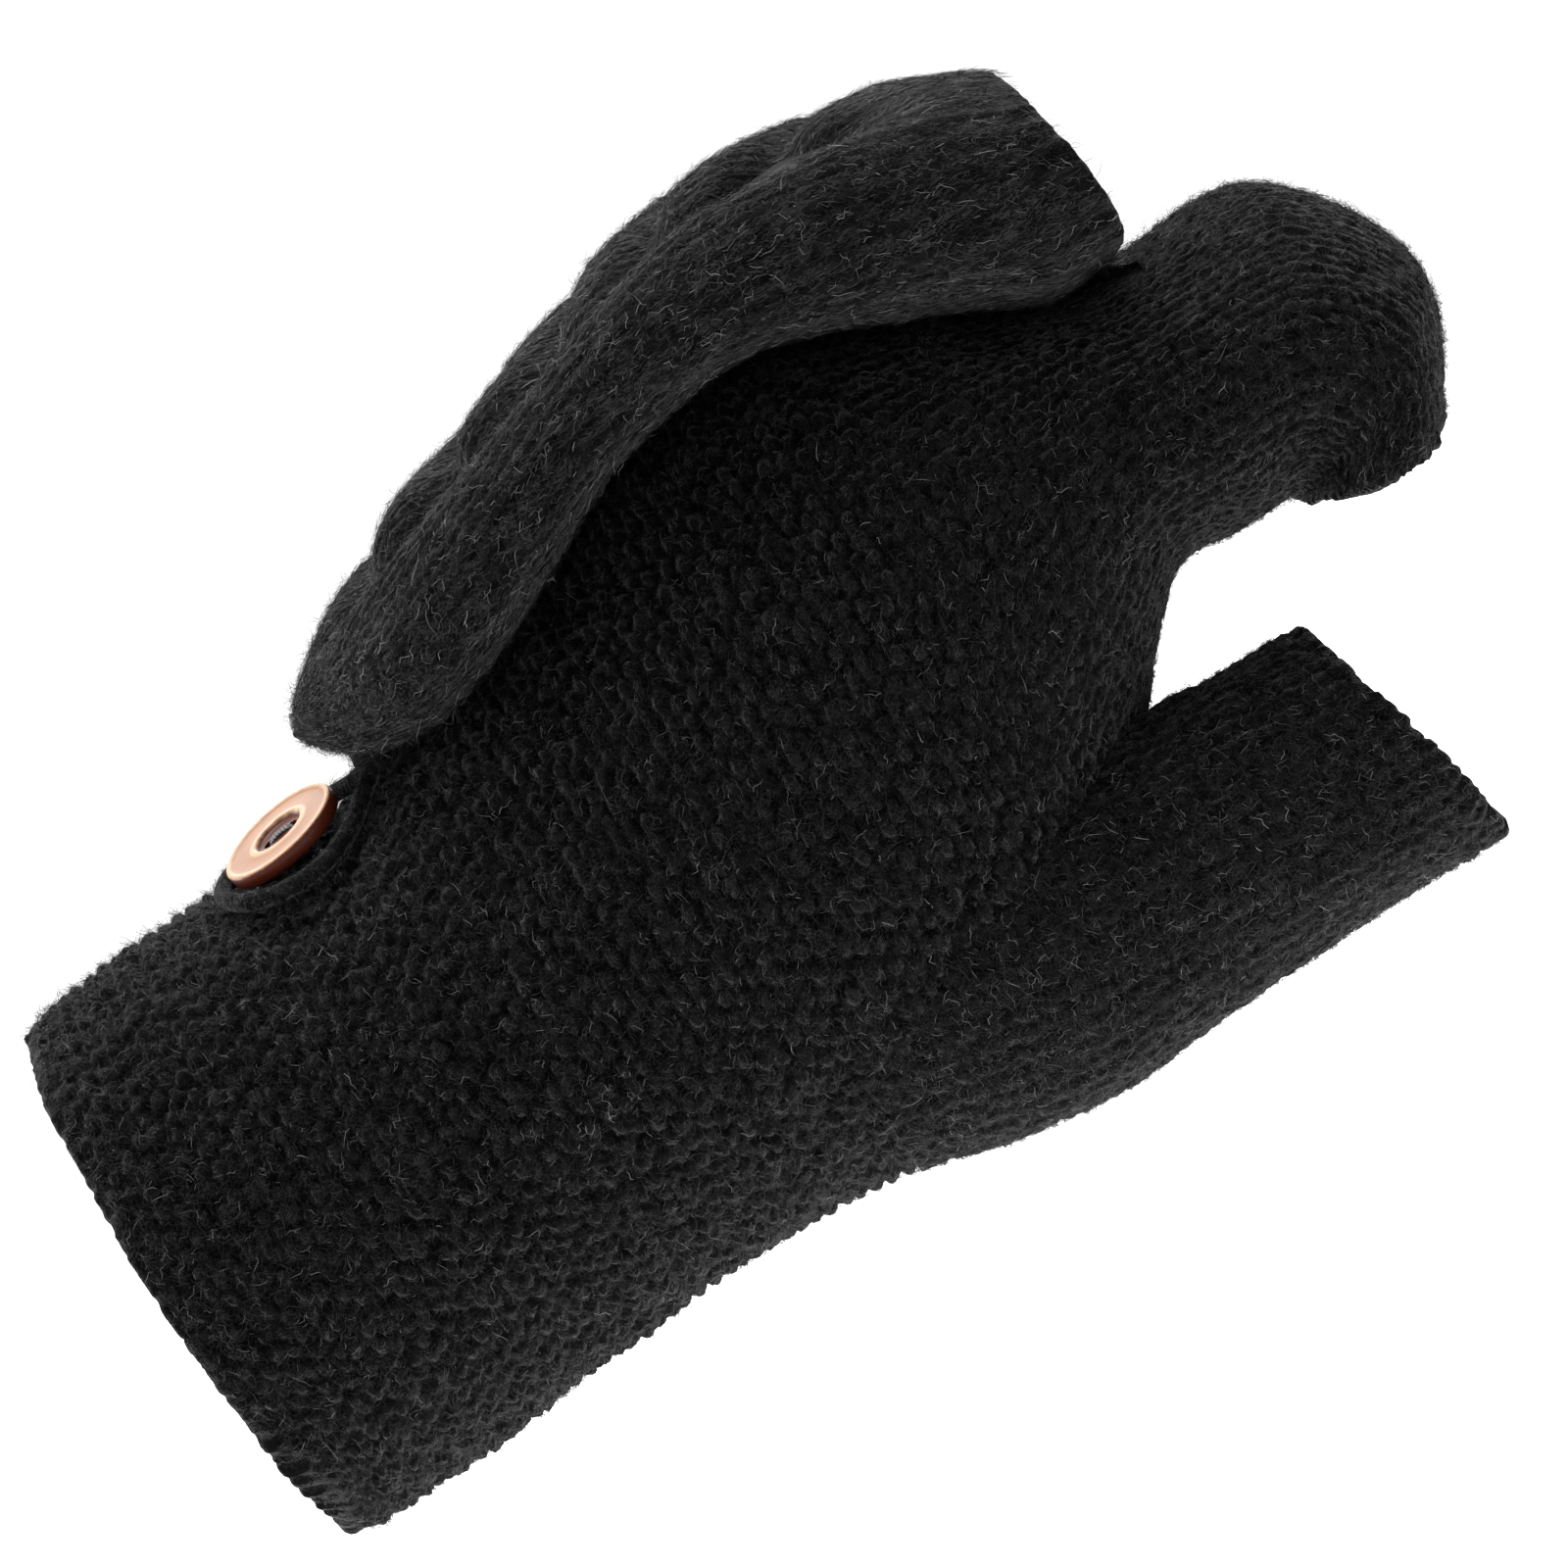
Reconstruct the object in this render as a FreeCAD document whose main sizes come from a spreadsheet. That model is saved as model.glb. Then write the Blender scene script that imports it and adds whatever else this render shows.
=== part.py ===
# Convertible flip-top mitten for the left hand, as worn: fingers loosely closed, and the hood folded back
# over the back of the hand and buttoned near the wrist. Millimetres. The origin is the centre of the wrist
# opening, +X runs towards the fingers, +Z out of the back of the hand, and the thumb is on the -Y side.
import FreeCAD, Part
import math
import os

import Sketcher

V = FreeCAD.Vector
ACROSS = V(0, 1, 0)
UP = V(0, 0, 1)

doc = FreeCAD.newDocument("flip_top_mitten")

# ---------------------------------------------------------------- driving dimensions

DIMENSIONS = {
    "knit_wall": (2.6, "thickness of the knitted fabric"),
    "joint_gap": (0.5, "gap between pieces that move apart"),
    "cuff_length": (26, "wrist opening to the end of the cuff"),
    "hand_length": (111, "wrist opening to the start of the finger sleeve"),
    "hand_width": (75, "width across the knuckles"),
    "wrist_height": (35, "height of the glove's back near the wrist, above the origin"),
    "edge_band": (3, "depth of the cast-on and bind-off edges"),
    "thumb_reach": (132.4, "wrist opening to the thumb opening"),
    "thumb_width": (32.6, "thumb tube, across"),
    "thumb_height": (30, "thumb tube, back to palm"),
    "hinge_reach": (136, "wrist opening to the knuckle seam"),
    "hinge_height": (37.8, "height of the knuckle seam's axis"),
    "hood_length": (95, "knuckle seam to the hood's tip"),
    "hood_width": (78, "width of the hood across its mouth"),
    "rib_depth": (17, "depth of the rib band at the hood's mouth"),
    "crease_back": (43, "knuckle seam to the crease between the hood's halves"),
    "crease_height": (50, "height of the crease's axis"),
    "button_width": (13.6, "diameter of the button"),
    "button_depth": (1.7, "thickness of the button"),
    "recess_width": (5.8, "diameter of the button's recess"),
    "recess_depth": (0.6, "depth of the button's recess"),
    "button_rounding": (0.25, "rounding of the button's rims"),
    "hole_width": (1.5, "diameter of a thread hole"),
    "hole_spacing": (2.8, "distance between the two thread holes"),
    "button_reach": (33.5, "wrist opening to the button"),
    "button_side": (8, "button's distance from the middle, towards the thumb"),
    "shank_length": (2.0, "fabric to the underside of the button"),
    "shank_width": (2.4, "diameter of the thread shank"),
    "cord_width": (1.9, "diameter of the loop's cord"),
    "eye_length": (19, "loop's cord centre line, lengthways"),
    "eye_width": (18.2, "loop's cord centre line, across"),
    "stitch_width": (1.6, "diameter of a sewing stitch"),
    "stitch_pitch": (4, "distance between sewing stitches"),
    "stitch_count": (13, "stitches in the knuckle seam"),
    "gather_width": (4.8, "diameter of the gathered stitches at the hood's tip"),
}

sheet = doc.addObject("Spreadsheet::Sheet", "Dimensions")
for row, (alias, (value, meaning)) in enumerate(DIMENSIONS.items(), start=1):
    sheet.set(f"A{row}", meaning)
    sheet.set(f"B{row}", str(value))
    sheet.setAlias(f"B{row}", alias)
doc.recompute()


def size(alias):
    """The sheet's value for an alias, in millimetres."""
    return float(sheet.get(alias))


WALL = size("knit_wall")
GAP = size("joint_gap")
HINGE = V(size("hinge_reach"), 0, size("hinge_height"))
CREASE = V(HINGE.x - size("crease_back"), 0, size("crease_height"))


# ---------------------------------------------------------------- soft shells

OVAL_POINTS = 28


def oval(centre, across, up, half_width, half_height, squareness):
    """Closed smooth curve round a centre. A squareness of 2 is an ellipse, and more is boxier."""
    points = []
    for step in range(OVAL_POINTS):
        turn = 2 * math.pi * step / OVAL_POINTS
        side = math.copysign(abs(math.cos(turn)) ** (2 / squareness), math.cos(turn))
        rise = math.copysign(abs(math.sin(turn)) ** (2 / squareness), math.sin(turn))
        points.append(centre + across * (half_width * side) + up * (half_height * rise))
    curve = Part.BSplineCurve()
    curve.interpolate(Points=points, PeriodicFlag=True)
    return Part.Wire([curve.toShape()])


class Station:
    """One cross-section of a knitted tube: from a low point to a high point, and a half width across."""

    def __init__(self, low, high, half_width, squareness=2.0):
        self.low = low
        self.high = high
        self.half_width = half_width
        self.squareness = squareness

    def wire(self, inset):
        """The section's outline, moved inwards by inset."""
        up = (self.high - self.low).normalize()
        half_height = (self.high - self.low).Length / 2 - inset
        centre = (self.high + self.low) * 0.5
        return oval(centre, ACROSS, up, self.half_width - inset, half_height, self.squareness)

    def moved(self, shift):
        """The same section, moved along."""
        return Station(self.low + shift, self.high + shift, self.half_width, self.squareness)


def loft(stations, inset=0.0, ruled=False):
    """Solid through the stations' outlines, moved inwards by inset."""
    return Part.makeLoft([station.wire(inset) for station in stations], True, ruled)


def hollow(stations, start_shift, end_shift):
    """The space inside a tube, run past its open ends by the given shifts."""
    run = [stations[0].moved(start_shift)] + stations[1:-1] + [stations[-1].moved(end_shift)]
    return loft(run, WALL)


def bent_tube(stations, wall):
    """A tube that bends sharply: straight lengths from station to station, joined. No wall makes it solid."""
    lengths = []
    for pair in zip(stations, stations[1:]):
        length = loft(pair, ruled=True)
        lengths.append(length.cut(loft(pair, wall, ruled=True)) if wall else length)
    return lengths[0].multiFuse(lengths[1:])


def between(before, start, end, after, share):
    """A value on the smooth curve through start and end, whose neighbours are before and after."""
    slope_start = (end - before) * 0.5
    slope_end = (after - start) * 0.5
    rest = (end - start) * 3 - slope_start * 2 - slope_end
    bend = (start - end) * 2 + slope_start + slope_end
    return start + slope_start * share + rest * share**2 + bend * share**3


def refined(stations, steps):
    """The stations with smooth extra ones between them, for a tube that bends sharply."""
    run = [stations[0]] + stations + [stations[-1]]
    finer = []
    for number in range(len(stations) - 1):
        group = run[number:number + 4]
        for step in range(steps):
            share = step / steps
            low = between(*[station.low for station in group], share)
            high = between(*[station.high for station in group], share)
            half_width = between(*[station.half_width for station in group], share)
            finer.append(Station(low, high, half_width, stations[0].squareness))
    return finer + [stations[-1]]


def slab(low_x, high_x, low_z=-200.0, high_z=200.0):
    """A box wide enough to cut any shell: a range of X and a range of Z."""
    return Part.makeBox(high_x - low_x, 200, high_z - low_z, V(low_x, -100, low_z))


def knit_piece(name, shape):
    """One knitted piece: a document object whose shape is computed from the sheet's dimensions."""
    piece = doc.addObject("Part::Feature", name)
    piece.Shape = shape
    piece.Placement = FreeCAD.Placement()
    return piece


# Glove body: (distance along the hand, half width, top, bottom), as shares of hand_length, half hand_width
# and, for the last two, wrist_height. The back of the hand rises to the knuckles.
BODY_SHARES = (
    (0.00, 0.827, 0.90, -0.886),
    (0.11, 0.840, 0.93, -0.891),
    (0.30, 0.867, 0.935, -0.846),
    (0.50, 0.920, 1.03, -0.830),
    (0.68, 0.981, 1.265, -0.865),
    (0.83, 1.000, 1.385, -0.77),
    (1.00, 0.987, 1.245, -0.17),
)


def body_stations():
    """The cuff and hand, as upright sections along X."""
    stations = []
    for along, width, top, bottom in BODY_SHARES:
        x = along * size("hand_length")
        low = V(x, 0, bottom * size("wrist_height"))
        high = V(x, 0, top * size("wrist_height"))
        stations.append(Station(low, high, width * size("hand_width") / 2))
    return stations


def sleeve_stations():
    """The finger sleeve: forward from the hand, then round the bent knuckles to face the palm."""
    start = size("hand_length")
    top = size("wrist_height")
    half = size("hand_width") / 2
    return [
        Station(V(start, 0, -0.17 * top), V(start, 0, 1.245 * top), 0.987 * half),
        Station(V(start + 12, 0, 7.3), V(start + 13, 0, top + 2.3), 0.96 * half),
        Station(V(start + 19, 0, 8.0), V(start + 26, 0, top + 1.0), 0.94 * half),
        Station(V(start + 24, 0, 8.6), V(start + 40.3, 0, top - 0.6), 0.932 * half),
        Station(V(start + 25.6, 0, 8.4), V(start + 48, 0, 20.8), 0.92 * half),
        Station(V(start + 26, 0, 8.0), V(start + 42.5, 0, 8.4), 0.893 * half),
    ]


def thumb_stations():
    """The thumb tube: from inside the palm to a slanted opening beside the index finger."""
    reach = size("thumb_reach")
    half_width = size("thumb_width") / 2
    half_height = size("thumb_height") / 2
    places = (
        (reach - 64, -12.0, -12.0, 0.92, 1.10, 0.0),
        (reach - 44, -18.5, -14.5, 1.04, 1.10, 0.0),
        (reach - 23, -21.5, -15.0, 1.00, 0.98, 1.0),
        (reach, -22.5, -15.2, 0.94, 0.88, 3.0),
    )
    stations = []
    for x, y, z, width, height, slant in places:
        rise = V(-slant, 0, height * half_height)
        centre = V(x, y, z)
        stations.append(Station(centre - rise, centre + rise, width * half_width))
    return stations


# Hood: (distance from the hinge towards the tip, half width of its mouth half, half width of its tip half,
# shift towards the thumb, bottom, top). The half widths are shares of half hood_width. The tip half is
# narrower and lower, so that it turns inside the mouth half.
HOOD_PLACES = (
    (0, 1.000, 1.000, 0.0, 37.0, 59.5),
    (9, 1.005, 1.005, 0.0, 38.2, 64.0),
    (18, 1.005, 1.005, 0.0, 42.6, 66.0),
    (27, 1.005, 1.000, 0.0, 47.0, 67.0),
    (36, 1.000, 0.930, 0.0, 50.0, 66.7),
    (45, 1.000, 0.923, 0.0, 50.8, 65.3),
    (54, 1.000, 0.920, 0.0, 49.0, 63.0),
    (66, 0.970, 0.885, 1.0, 43.5, 59.5),
    (77, 0.850, 0.780, 2.5, 38.5, 55.5),
    (86, 0.650, 0.600, 4.0, 35.9, 51.5),
    (92, 0.400, 0.360, 5.5, 36.6, 48.0),
    (95, 0.230, 0.200, 6.0, 39.0, 45.5),
)
HOOD_SQUARENESS = 2.6
# How much lower the tip half's top is, for each millimetre that its side is further in.
TOP_NARROWING = 0.65


def hood_stations(tip_half):
    """The folded-back hood, as upright sections from the knuckles to the tip."""
    stations = []
    for back, mouth_share, tip_share, shift, bottom, top in HOOD_PLACES:
        x = HINGE.x - back * size("hood_length") / 95
        half_width = mouth_share * size("hood_width") / 2
        if tip_half:
            narrowing = (mouth_share - tip_share) * size("hood_width") / 2
            half_width -= narrowing
            top -= TOP_NARROWING * narrowing
        stations.append(Station(V(x, -shift, bottom), V(x, -shift, top), half_width, HOOD_SQUARENESS))
    return stations


def build_glove():
    """Cuff, hand, thumb tube and finger sleeve with their edges. The shells meet face to face."""
    body = body_stations()
    body_solid = loft(body)
    body_space = hollow(body, V(-4, 0, 0), V(4, 0, 0))
    thumb = thumb_stations()
    thumb_space = hollow(thumb, V(0, 0, 0), V(4, 0, 0))
    sleeve = refined(sleeve_stations(), 2)
    band = size("edge_band")
    cuff_end = size("cuff_length")

    body_shell = body_solid.cut(body_space).cut(thumb_space)
    knit_piece("cuff_edge", body_shell.common(slab(-1, band)))
    knit_piece("cuff", body_shell.common(slab(band, cuff_end)))
    knit_piece("hand_shell", body_shell.common(slab(cuff_end, size("hand_length") + 1)))

    sleeve_solid = bent_tube(sleeve, None)
    thumb_shell = loft(thumb).cut(thumb_space).cut(body_solid).cut(sleeve_solid)
    edge = thumb[-1]
    edge_solid = loft([edge.moved(V(-band, 0, 0)), edge.moved(V(2, 0, 0))], -6)
    knit_piece("thumb_tube", biggest(thumb_shell.cut(edge_solid)))
    knit_piece("thumb_edge", biggest(thumb_shell.common(edge_solid)))

    sleeve_shell = bent_tube(sleeve, WALL).cut(thumb_space)
    edge_top = sleeve[-1].low.z + band
    knit_piece("finger_sleeve", biggest(sleeve_shell.cut(edge_slab(edge_top))))
    knit_piece("finger_edge", biggest(sleeve_shell.common(edge_slab(edge_top))))
    return body_solid, body_space, sleeve_solid


def edge_slab(top):
    """The zone of the finger sleeve's edge: below a height, in front of the hand."""
    start = size("hand_length") + 22
    return slab(start, start + 60, -10, top)


def biggest(shape):
    """The largest solid of a boolean's result."""
    return max(shape.Solids, key=lambda solid: solid.Volume)


def build_side_seam(body_solid, body_space):
    """The seam that closes the glove along the little-finger edge: a ridge on the inside."""
    radius = size("stitch_width") / 2
    start = size("edge_band") + 1
    end = size("hand_length") - 8
    steps = 8
    points = []
    for step in range(steps + 1):
        x = start + (end - start) * step / steps
        section = body_space.slice(V(1, 0, 0), x)[0]
        box = section.BoundBox
        points.append(V(x, box.YMax - 0.4 * radius, (box.ZMin + box.ZMax) / 2))
    curve = Part.BSplineCurve()
    curve.interpolate(points)
    path = Part.Wire([curve.toShape()])
    direction = curve.tangent(curve.FirstParameter)[0]
    profile = Part.Wire([Part.makeCircle(radius, points[0], direction)])
    ridge = path.makePipeShell([profile], True, False)
    knit_piece("side_seam", biggest(ridge.common(body_space)))


# ---------------------------------------------------------------- hood

def hood_split(lift):
    """The zone above the line where the hood's palm side parts from its back, moved up by lift."""
    corners = (
        V(CREASE.x, -100, 57.5 + lift),
        V(HINGE.x - 18, -100, 53 + lift),
        V(HINGE.x + 5, -100, 45 + lift),
        V(HINGE.x + 5, -100, 120),
        V(CREASE.x, -100, 120),
    )
    outline = Part.makePolygon(list(corners) + [corners[0]])
    return Part.Face(outline).extrude(V(0, 200, 0))


def tip_sweep(pouch):
    """The space that the pouch's rim turns through, from straight above the crease towards the fingers."""
    reach = pouch.optimalBoundingBox().ZMax - CREASE.z + GAP
    inner_width = size("hood_width") - 2 * WALL
    start = V(CREASE.x, -inner_width / 2, CREASE.z)
    sector = Part.makeCylinder(reach, inner_width, start, ACROSS, 50)
    sector.rotate(CREASE, ACROSS, -4)
    return sector


def build_hood():
    """The hood's back panel, tip pouch and palm panel, and the rib bands round its mouth."""
    wide = hood_stations(tip_half=False)
    narrow = hood_stations(tip_half=True)
    wide_shell = loft(wide).cut(hollow(wide, V(4, 0, 0), V(8, 0, 0)))
    narrow_shell = loft(narrow).cut(loft(closed_end(narrow), WALL))
    rib_start = HINGE.x - size("rib_depth")
    seam_clear = HINGE.x - size("stitch_width") / 2 - GAP
    pouch = biggest(narrow_shell.common(slab(0, CREASE.x)))
    knit_piece("hood_tip_pouch", pouch)

    mouth_shell = wide_shell.cut(tip_sweep(pouch))
    back = mouth_shell.common(slab(CREASE.x + 3.5, seam_clear)).cut(hood_split(0))
    knit_piece("hood_back_panel", biggest(back.common(slab(0, rib_start))))
    knit_piece("hood_back_rib", biggest(back.common(slab(rib_start, 200))))

    palm = mouth_shell.common(slab(CREASE.x + 1.2, 200)).common(hood_split(GAP))
    knit_piece("hood_palm_panel", biggest(palm.common(slab(0, rib_start))))
    knit_piece("hood_palm_rib", biggest(palm.common(slab(rib_start, 200))))


def closed_end(stations):
    """The stations of a pouch's inside: open past the mouth, and a wall short of the tip."""
    return [stations[0].moved(V(4, 0, 0))] + stations[1:-1]


# ---------------------------------------------------------------- sketched pieces

def new_body(name, base=V(0, 0, 0), rotation=FreeCAD.Rotation()):
    """A PartDesign body, placed where the piece lies."""
    body = doc.addObject("PartDesign::Body", name)
    body.Placement = FreeCAD.Placement(base, rotation)
    return body


def new_sketch(body, name, role):
    """A sketch on one of the body's own origin planes."""
    sketch = body.newObject("Sketcher::SketchObject", name)
    plane = next(item for item in body.Origin.OriginFeatures if item.Role == role)
    sketch.AttachmentSupport = [(plane, "")]
    sketch.MapMode = "FlatFace"
    return sketch


def add_circle(sketch, x, y, expression, offset_expression=None):
    """A circle whose diameter, and distance from the sketch's upright axis, follow the sheet."""
    index = sketch.addGeometry(Part.Circle(V(x, y, 0), UP, 1.0), False)
    radius = sketch.addConstraint(Sketcher.Constraint("Radius", index, 1.0))
    sketch.setExpression(f"Constraints[{radius}]", f"({expression}) / 2")
    level = sketch.addConstraint(Sketcher.Constraint("DistanceY", -1, 1, index, 3, y))
    sketch.setDatum(level, FreeCAD.Units.Quantity(f"{y} mm"))
    aside = sketch.addConstraint(Sketcher.Constraint("DistanceX", -1, 1, index, 3, x))
    if offset_expression:
        sketch.setExpression(f"Constraints[{aside}]", offset_expression)
    return index


def pad(body, sketch, expression):
    """A pad of the sketch, its length from the sheet."""
    feature = body.newObject("PartDesign::Pad", sketch.Name + "_pad")
    feature.Profile = sketch
    feature.setExpression("Length", expression)
    doc.recompute()
    return feature


def pocket(body, sketch, expression, reverse):
    """A pocket of the sketch. It must take material away."""
    before = body.Shape.Volume
    feature = body.newObject("PartDesign::Pocket", sketch.Name + "_pocket")
    feature.Profile = sketch
    feature.Reversed = reverse
    feature.setExpression("Length", expression)
    doc.recompute()
    assert body.Shape.Volume < before, sketch.Name
    return feature


def button_frame(body_solid):
    """Where the button sits: the point on the fabric, and the way its face looks."""
    x = size("button_reach")
    y = -size("button_side")
    upright = Part.Wire([Part.makeLine(V(x, y, 0), V(x, y, 80))])
    surface = max(vertex.Point.z for vertex in upright.common(body_solid).Vertexes)
    lean_to_wrist_and_thumb = V(-0.139, -0.223, 0.965)
    return V(x, y, surface), lean_to_wrist_and_thumb.normalize()


def build_button(base, normal):
    """A flat disc with a round recess and two thread holes, and the thread through them."""
    turn = FreeCAD.Rotation(UP, normal)
    underside = base + normal * size("shank_length")
    disc = new_body("button", underside, turn)
    outline = new_sketch(disc, "disc_outline", "XY_Plane")
    add_circle(outline, 0, 0, "Dimensions.button_width")
    disc_pad = pad(disc, outline, "Dimensions.button_depth")
    rims = [
        f"Edge{number}"
        for number, edge in enumerate(disc_pad.Shape.Edges, start=1)
        if edge.Closed
    ]
    rounding = disc.newObject("PartDesign::Fillet", "disc_rounding")
    rounding.Base = (disc_pad, rims)
    rounding.setExpression("Radius", "Dimensions.button_rounding")
    doc.recompute()

    recess = new_sketch(disc, "recess_outline", "XY_Plane")
    recess.AttachmentOffset = FreeCAD.Placement(V(0, 0, size("button_depth")), FreeCAD.Rotation())
    add_circle(recess, 0, 0, "Dimensions.recess_width")
    doc.recompute()
    pocket(disc, recess, "Dimensions.recess_depth", False)

    hole = new_sketch(disc, "hole_outline", "XY_Plane")
    add_circle(hole, 1.4, 0, "Dimensions.hole_width", "Dimensions.hole_spacing / 2")
    doc.recompute()
    first_hole = pocket(disc, hole, "Dimensions.button_depth", True)
    pair = disc.newObject("PartDesign::PolarPattern", "hole_pair")
    pair.Originals = [first_hole]
    axis = next(item for item in disc.Origin.OriginFeatures if item.Role == "Z_Axis")
    pair.Axis = (axis, [""])
    pair.Angle = 360
    pair.Occurrences = 2
    disc.Tip = pair
    doc.recompute()

    build_button_thread(underside, turn)


def build_button_thread(underside, turn):
    """The thread in the two holes, and the bar of it that crosses the recess."""
    half_gap = size("hole_spacing") / 2
    radius = size("hole_width") / 2 - 0.1
    floor = size("button_depth") - size("recess_depth")
    legs = [
        Part.makeCylinder(radius, floor + 0.1, V(side * half_gap, 0, 0), UP) for side in (-1, 1)
    ]
    bar_radius = 0.3
    bar_height = floor + 0.05
    bar = Part.makeCylinder(bar_radius, 2 * half_gap, V(-half_gap, 0, bar_height), V(1, 0, 0))
    bar_above_floor = bar.cut(Part.makeBox(10, 10, floor, V(-5, -5, 0)))
    thread = knit_piece("button_thread", legs[0].multiFuse([legs[1], bar_above_floor]))
    thread.Placement = FreeCAD.Placement(underside, turn)


def build_shank(base, normal, body_solid, body_space):
    """The wound thread that holds the button off the fabric, and its knot inside."""
    radius = size("shank_width") / 2
    column = Part.makeCylinder(radius, size("shank_length") + 0.7, base - normal, normal)
    knit_piece("button_shank", biggest(column.cut(body_solid)))
    knot = Part.makeSphere(1.5 * radius, base - UP * (WALL + 0.4))
    knit_piece("shank_knot", biggest(knot.common(body_space)))


def build_loop(base):
    """The cord ring round the button's shank, and the stem that joins it to the hood's tip."""
    radius = size("eye_width") / 2
    half_straight = (size("eye_length") - size("eye_width")) / 2
    centre = base + V(0.6, 0, 1.7)
    ring = new_body("button_loop", centre, FreeCAD.Rotation(UP, V(-0.06, -0.2, 0.98)))
    path = new_sketch(ring, "loop_path", "XY_Plane")
    ends = []
    for side in (1, -1):
        middle = V(side * half_straight, 0, 0)
        circle = Part.Circle(middle, UP, radius)
        turn = math.pi / 2 * side
        ends.append(path.addGeometry(Part.ArcOfCircle(circle, -turn, turn), False))
    for side in (1, -1):
        left = V(-half_straight, side * radius, 0)
        right = V(half_straight, side * radius, 0)
        path.addGeometry(Part.LineSegment(left, right), False)
    for arc in ends:
        index = path.addConstraint(Sketcher.Constraint("Radius", arc, radius))
        path.setExpression(f"Constraints[{index}]", "Dimensions.eye_width / 2")
    section = new_sketch(ring, "loop_section", "YZ_Plane")
    add_circle(section, radius, 0, "Dimensions.cord_width", "Dimensions.eye_width / 2")
    doc.recompute()
    pipe = ring.newObject("PartDesign::AdditivePipe", "loop_pipe")
    pipe.Profile = section
    pipe.Spine = path
    doc.recompute()

    foot = ring.Placement.multVec(V(half_straight + radius, 0, 0))
    head = V(foot.x + 0.6, foot.y + 0.3, 35.5)
    upward = (head - foot).normalize()
    cord_radius = size("cord_width") / 2
    start = foot + upward * (1.4 * cord_radius)
    knit_piece("loop_stem", Part.makeCylinder(cord_radius, (head - start).Length, start, upward))


def build_tip_gather():
    """The stitches that draw the hood's tip together and hold the loop."""
    tip = hood_stations(tip_half=True)[-1]
    middle = (tip.low + tip.high) * 0.5
    depth = 1.0
    disc = Part.makeCylinder(size("gather_width") / 2, depth, middle, V(-1, 0, 0))
    outer_rim = [edge for edge in disc.Edges if edge.Closed and edge.CenterOfMass.x < middle.x - depth / 2]
    knit_piece("tip_gather", disc.makeFillet(0.6 * depth, outer_rim))


def build_knuckle_seam(sleeve_solid):
    """The row of stitches along the hinge line, each going down into the finger sleeve."""
    radius = size("stitch_width") / 2
    pitch = size("stitch_pitch")
    count = int(size("stitch_count"))
    half_row = pitch * (count - 1) / 2
    rope = Part.makeCylinder(radius, 2 * half_row, HINGE - V(0, half_row, 0), ACROSS)
    posts = [
        Part.makeCylinder(radius * 0.8, 8, HINGE + V(0, number * pitch - half_row, 0), V(0, 0, -1))
        for number in range(count)
    ]
    knit_piece("knuckle_seam", biggest(rope.multiFuse(posts).cut(sleeve_solid)))


# ---------------------------------------------------------------- build, check and write

body_solid, body_space, sleeve_solid = build_glove()
build_side_seam(body_solid, body_space)
build_knuckle_seam(sleeve_solid)
build_hood()
build_tip_gather()
button_base, button_normal = button_frame(body_solid)
build_shank(button_base, button_normal, body_solid, body_space)
build_button(button_base, button_normal)
build_loop(button_base)
doc.recompute()

for item in doc.Objects:
    assert "Invalid" not in item.State and "Error" not in item.State, item.Name

os.makedirs("parts", exist_ok=True)
pieces = [item for item in doc.Objects if item.TypeId in ("Part::Feature", "PartDesign::Body")]
for piece in pieces:
    assert not piece.Shape.isNull() and piece.Shape.isValid(), piece.Label
    assert len(piece.Shape.Solids) == 1, piece.Label
    piece.Shape.exportStep(f"parts/{piece.Label}.step")
    print(piece.Label, round(piece.Shape.Volume, 1))
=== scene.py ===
import math

import bmesh
import bpy
import numpy as np
from mathutils import Matrix, Vector


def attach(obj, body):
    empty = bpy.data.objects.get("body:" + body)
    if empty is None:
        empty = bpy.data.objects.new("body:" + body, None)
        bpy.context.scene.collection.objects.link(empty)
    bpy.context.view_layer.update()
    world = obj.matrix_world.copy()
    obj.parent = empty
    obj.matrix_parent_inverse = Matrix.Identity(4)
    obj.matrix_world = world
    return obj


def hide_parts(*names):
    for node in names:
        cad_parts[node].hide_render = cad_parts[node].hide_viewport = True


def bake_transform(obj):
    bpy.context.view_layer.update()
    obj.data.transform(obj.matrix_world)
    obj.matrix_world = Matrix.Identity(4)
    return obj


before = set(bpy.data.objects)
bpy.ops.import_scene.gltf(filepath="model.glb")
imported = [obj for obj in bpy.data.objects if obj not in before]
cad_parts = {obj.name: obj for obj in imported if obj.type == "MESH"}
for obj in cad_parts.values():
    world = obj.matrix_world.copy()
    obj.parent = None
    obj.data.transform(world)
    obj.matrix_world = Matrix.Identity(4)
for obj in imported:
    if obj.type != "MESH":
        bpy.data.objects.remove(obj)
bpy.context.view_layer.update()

MM = 0.001          # metres in a millimetre
WALL = 2.5          # thickness of the knitted fabric, mm
ROW = 1.75          # height of one row of stitches, mm
EDGE = 3            # depth of each finished edge, mm
GLOVE_SPACING = 0.36    # mesh spacing along the glove and the thumb tube, mm
FIBRE_POINTS = 4        # points along one loose fibre
FIBRES_PER_PIECE = 32000
scene = bpy.context.scene

# ---------------------------------------------------------------- camera, lights and floor


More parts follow.
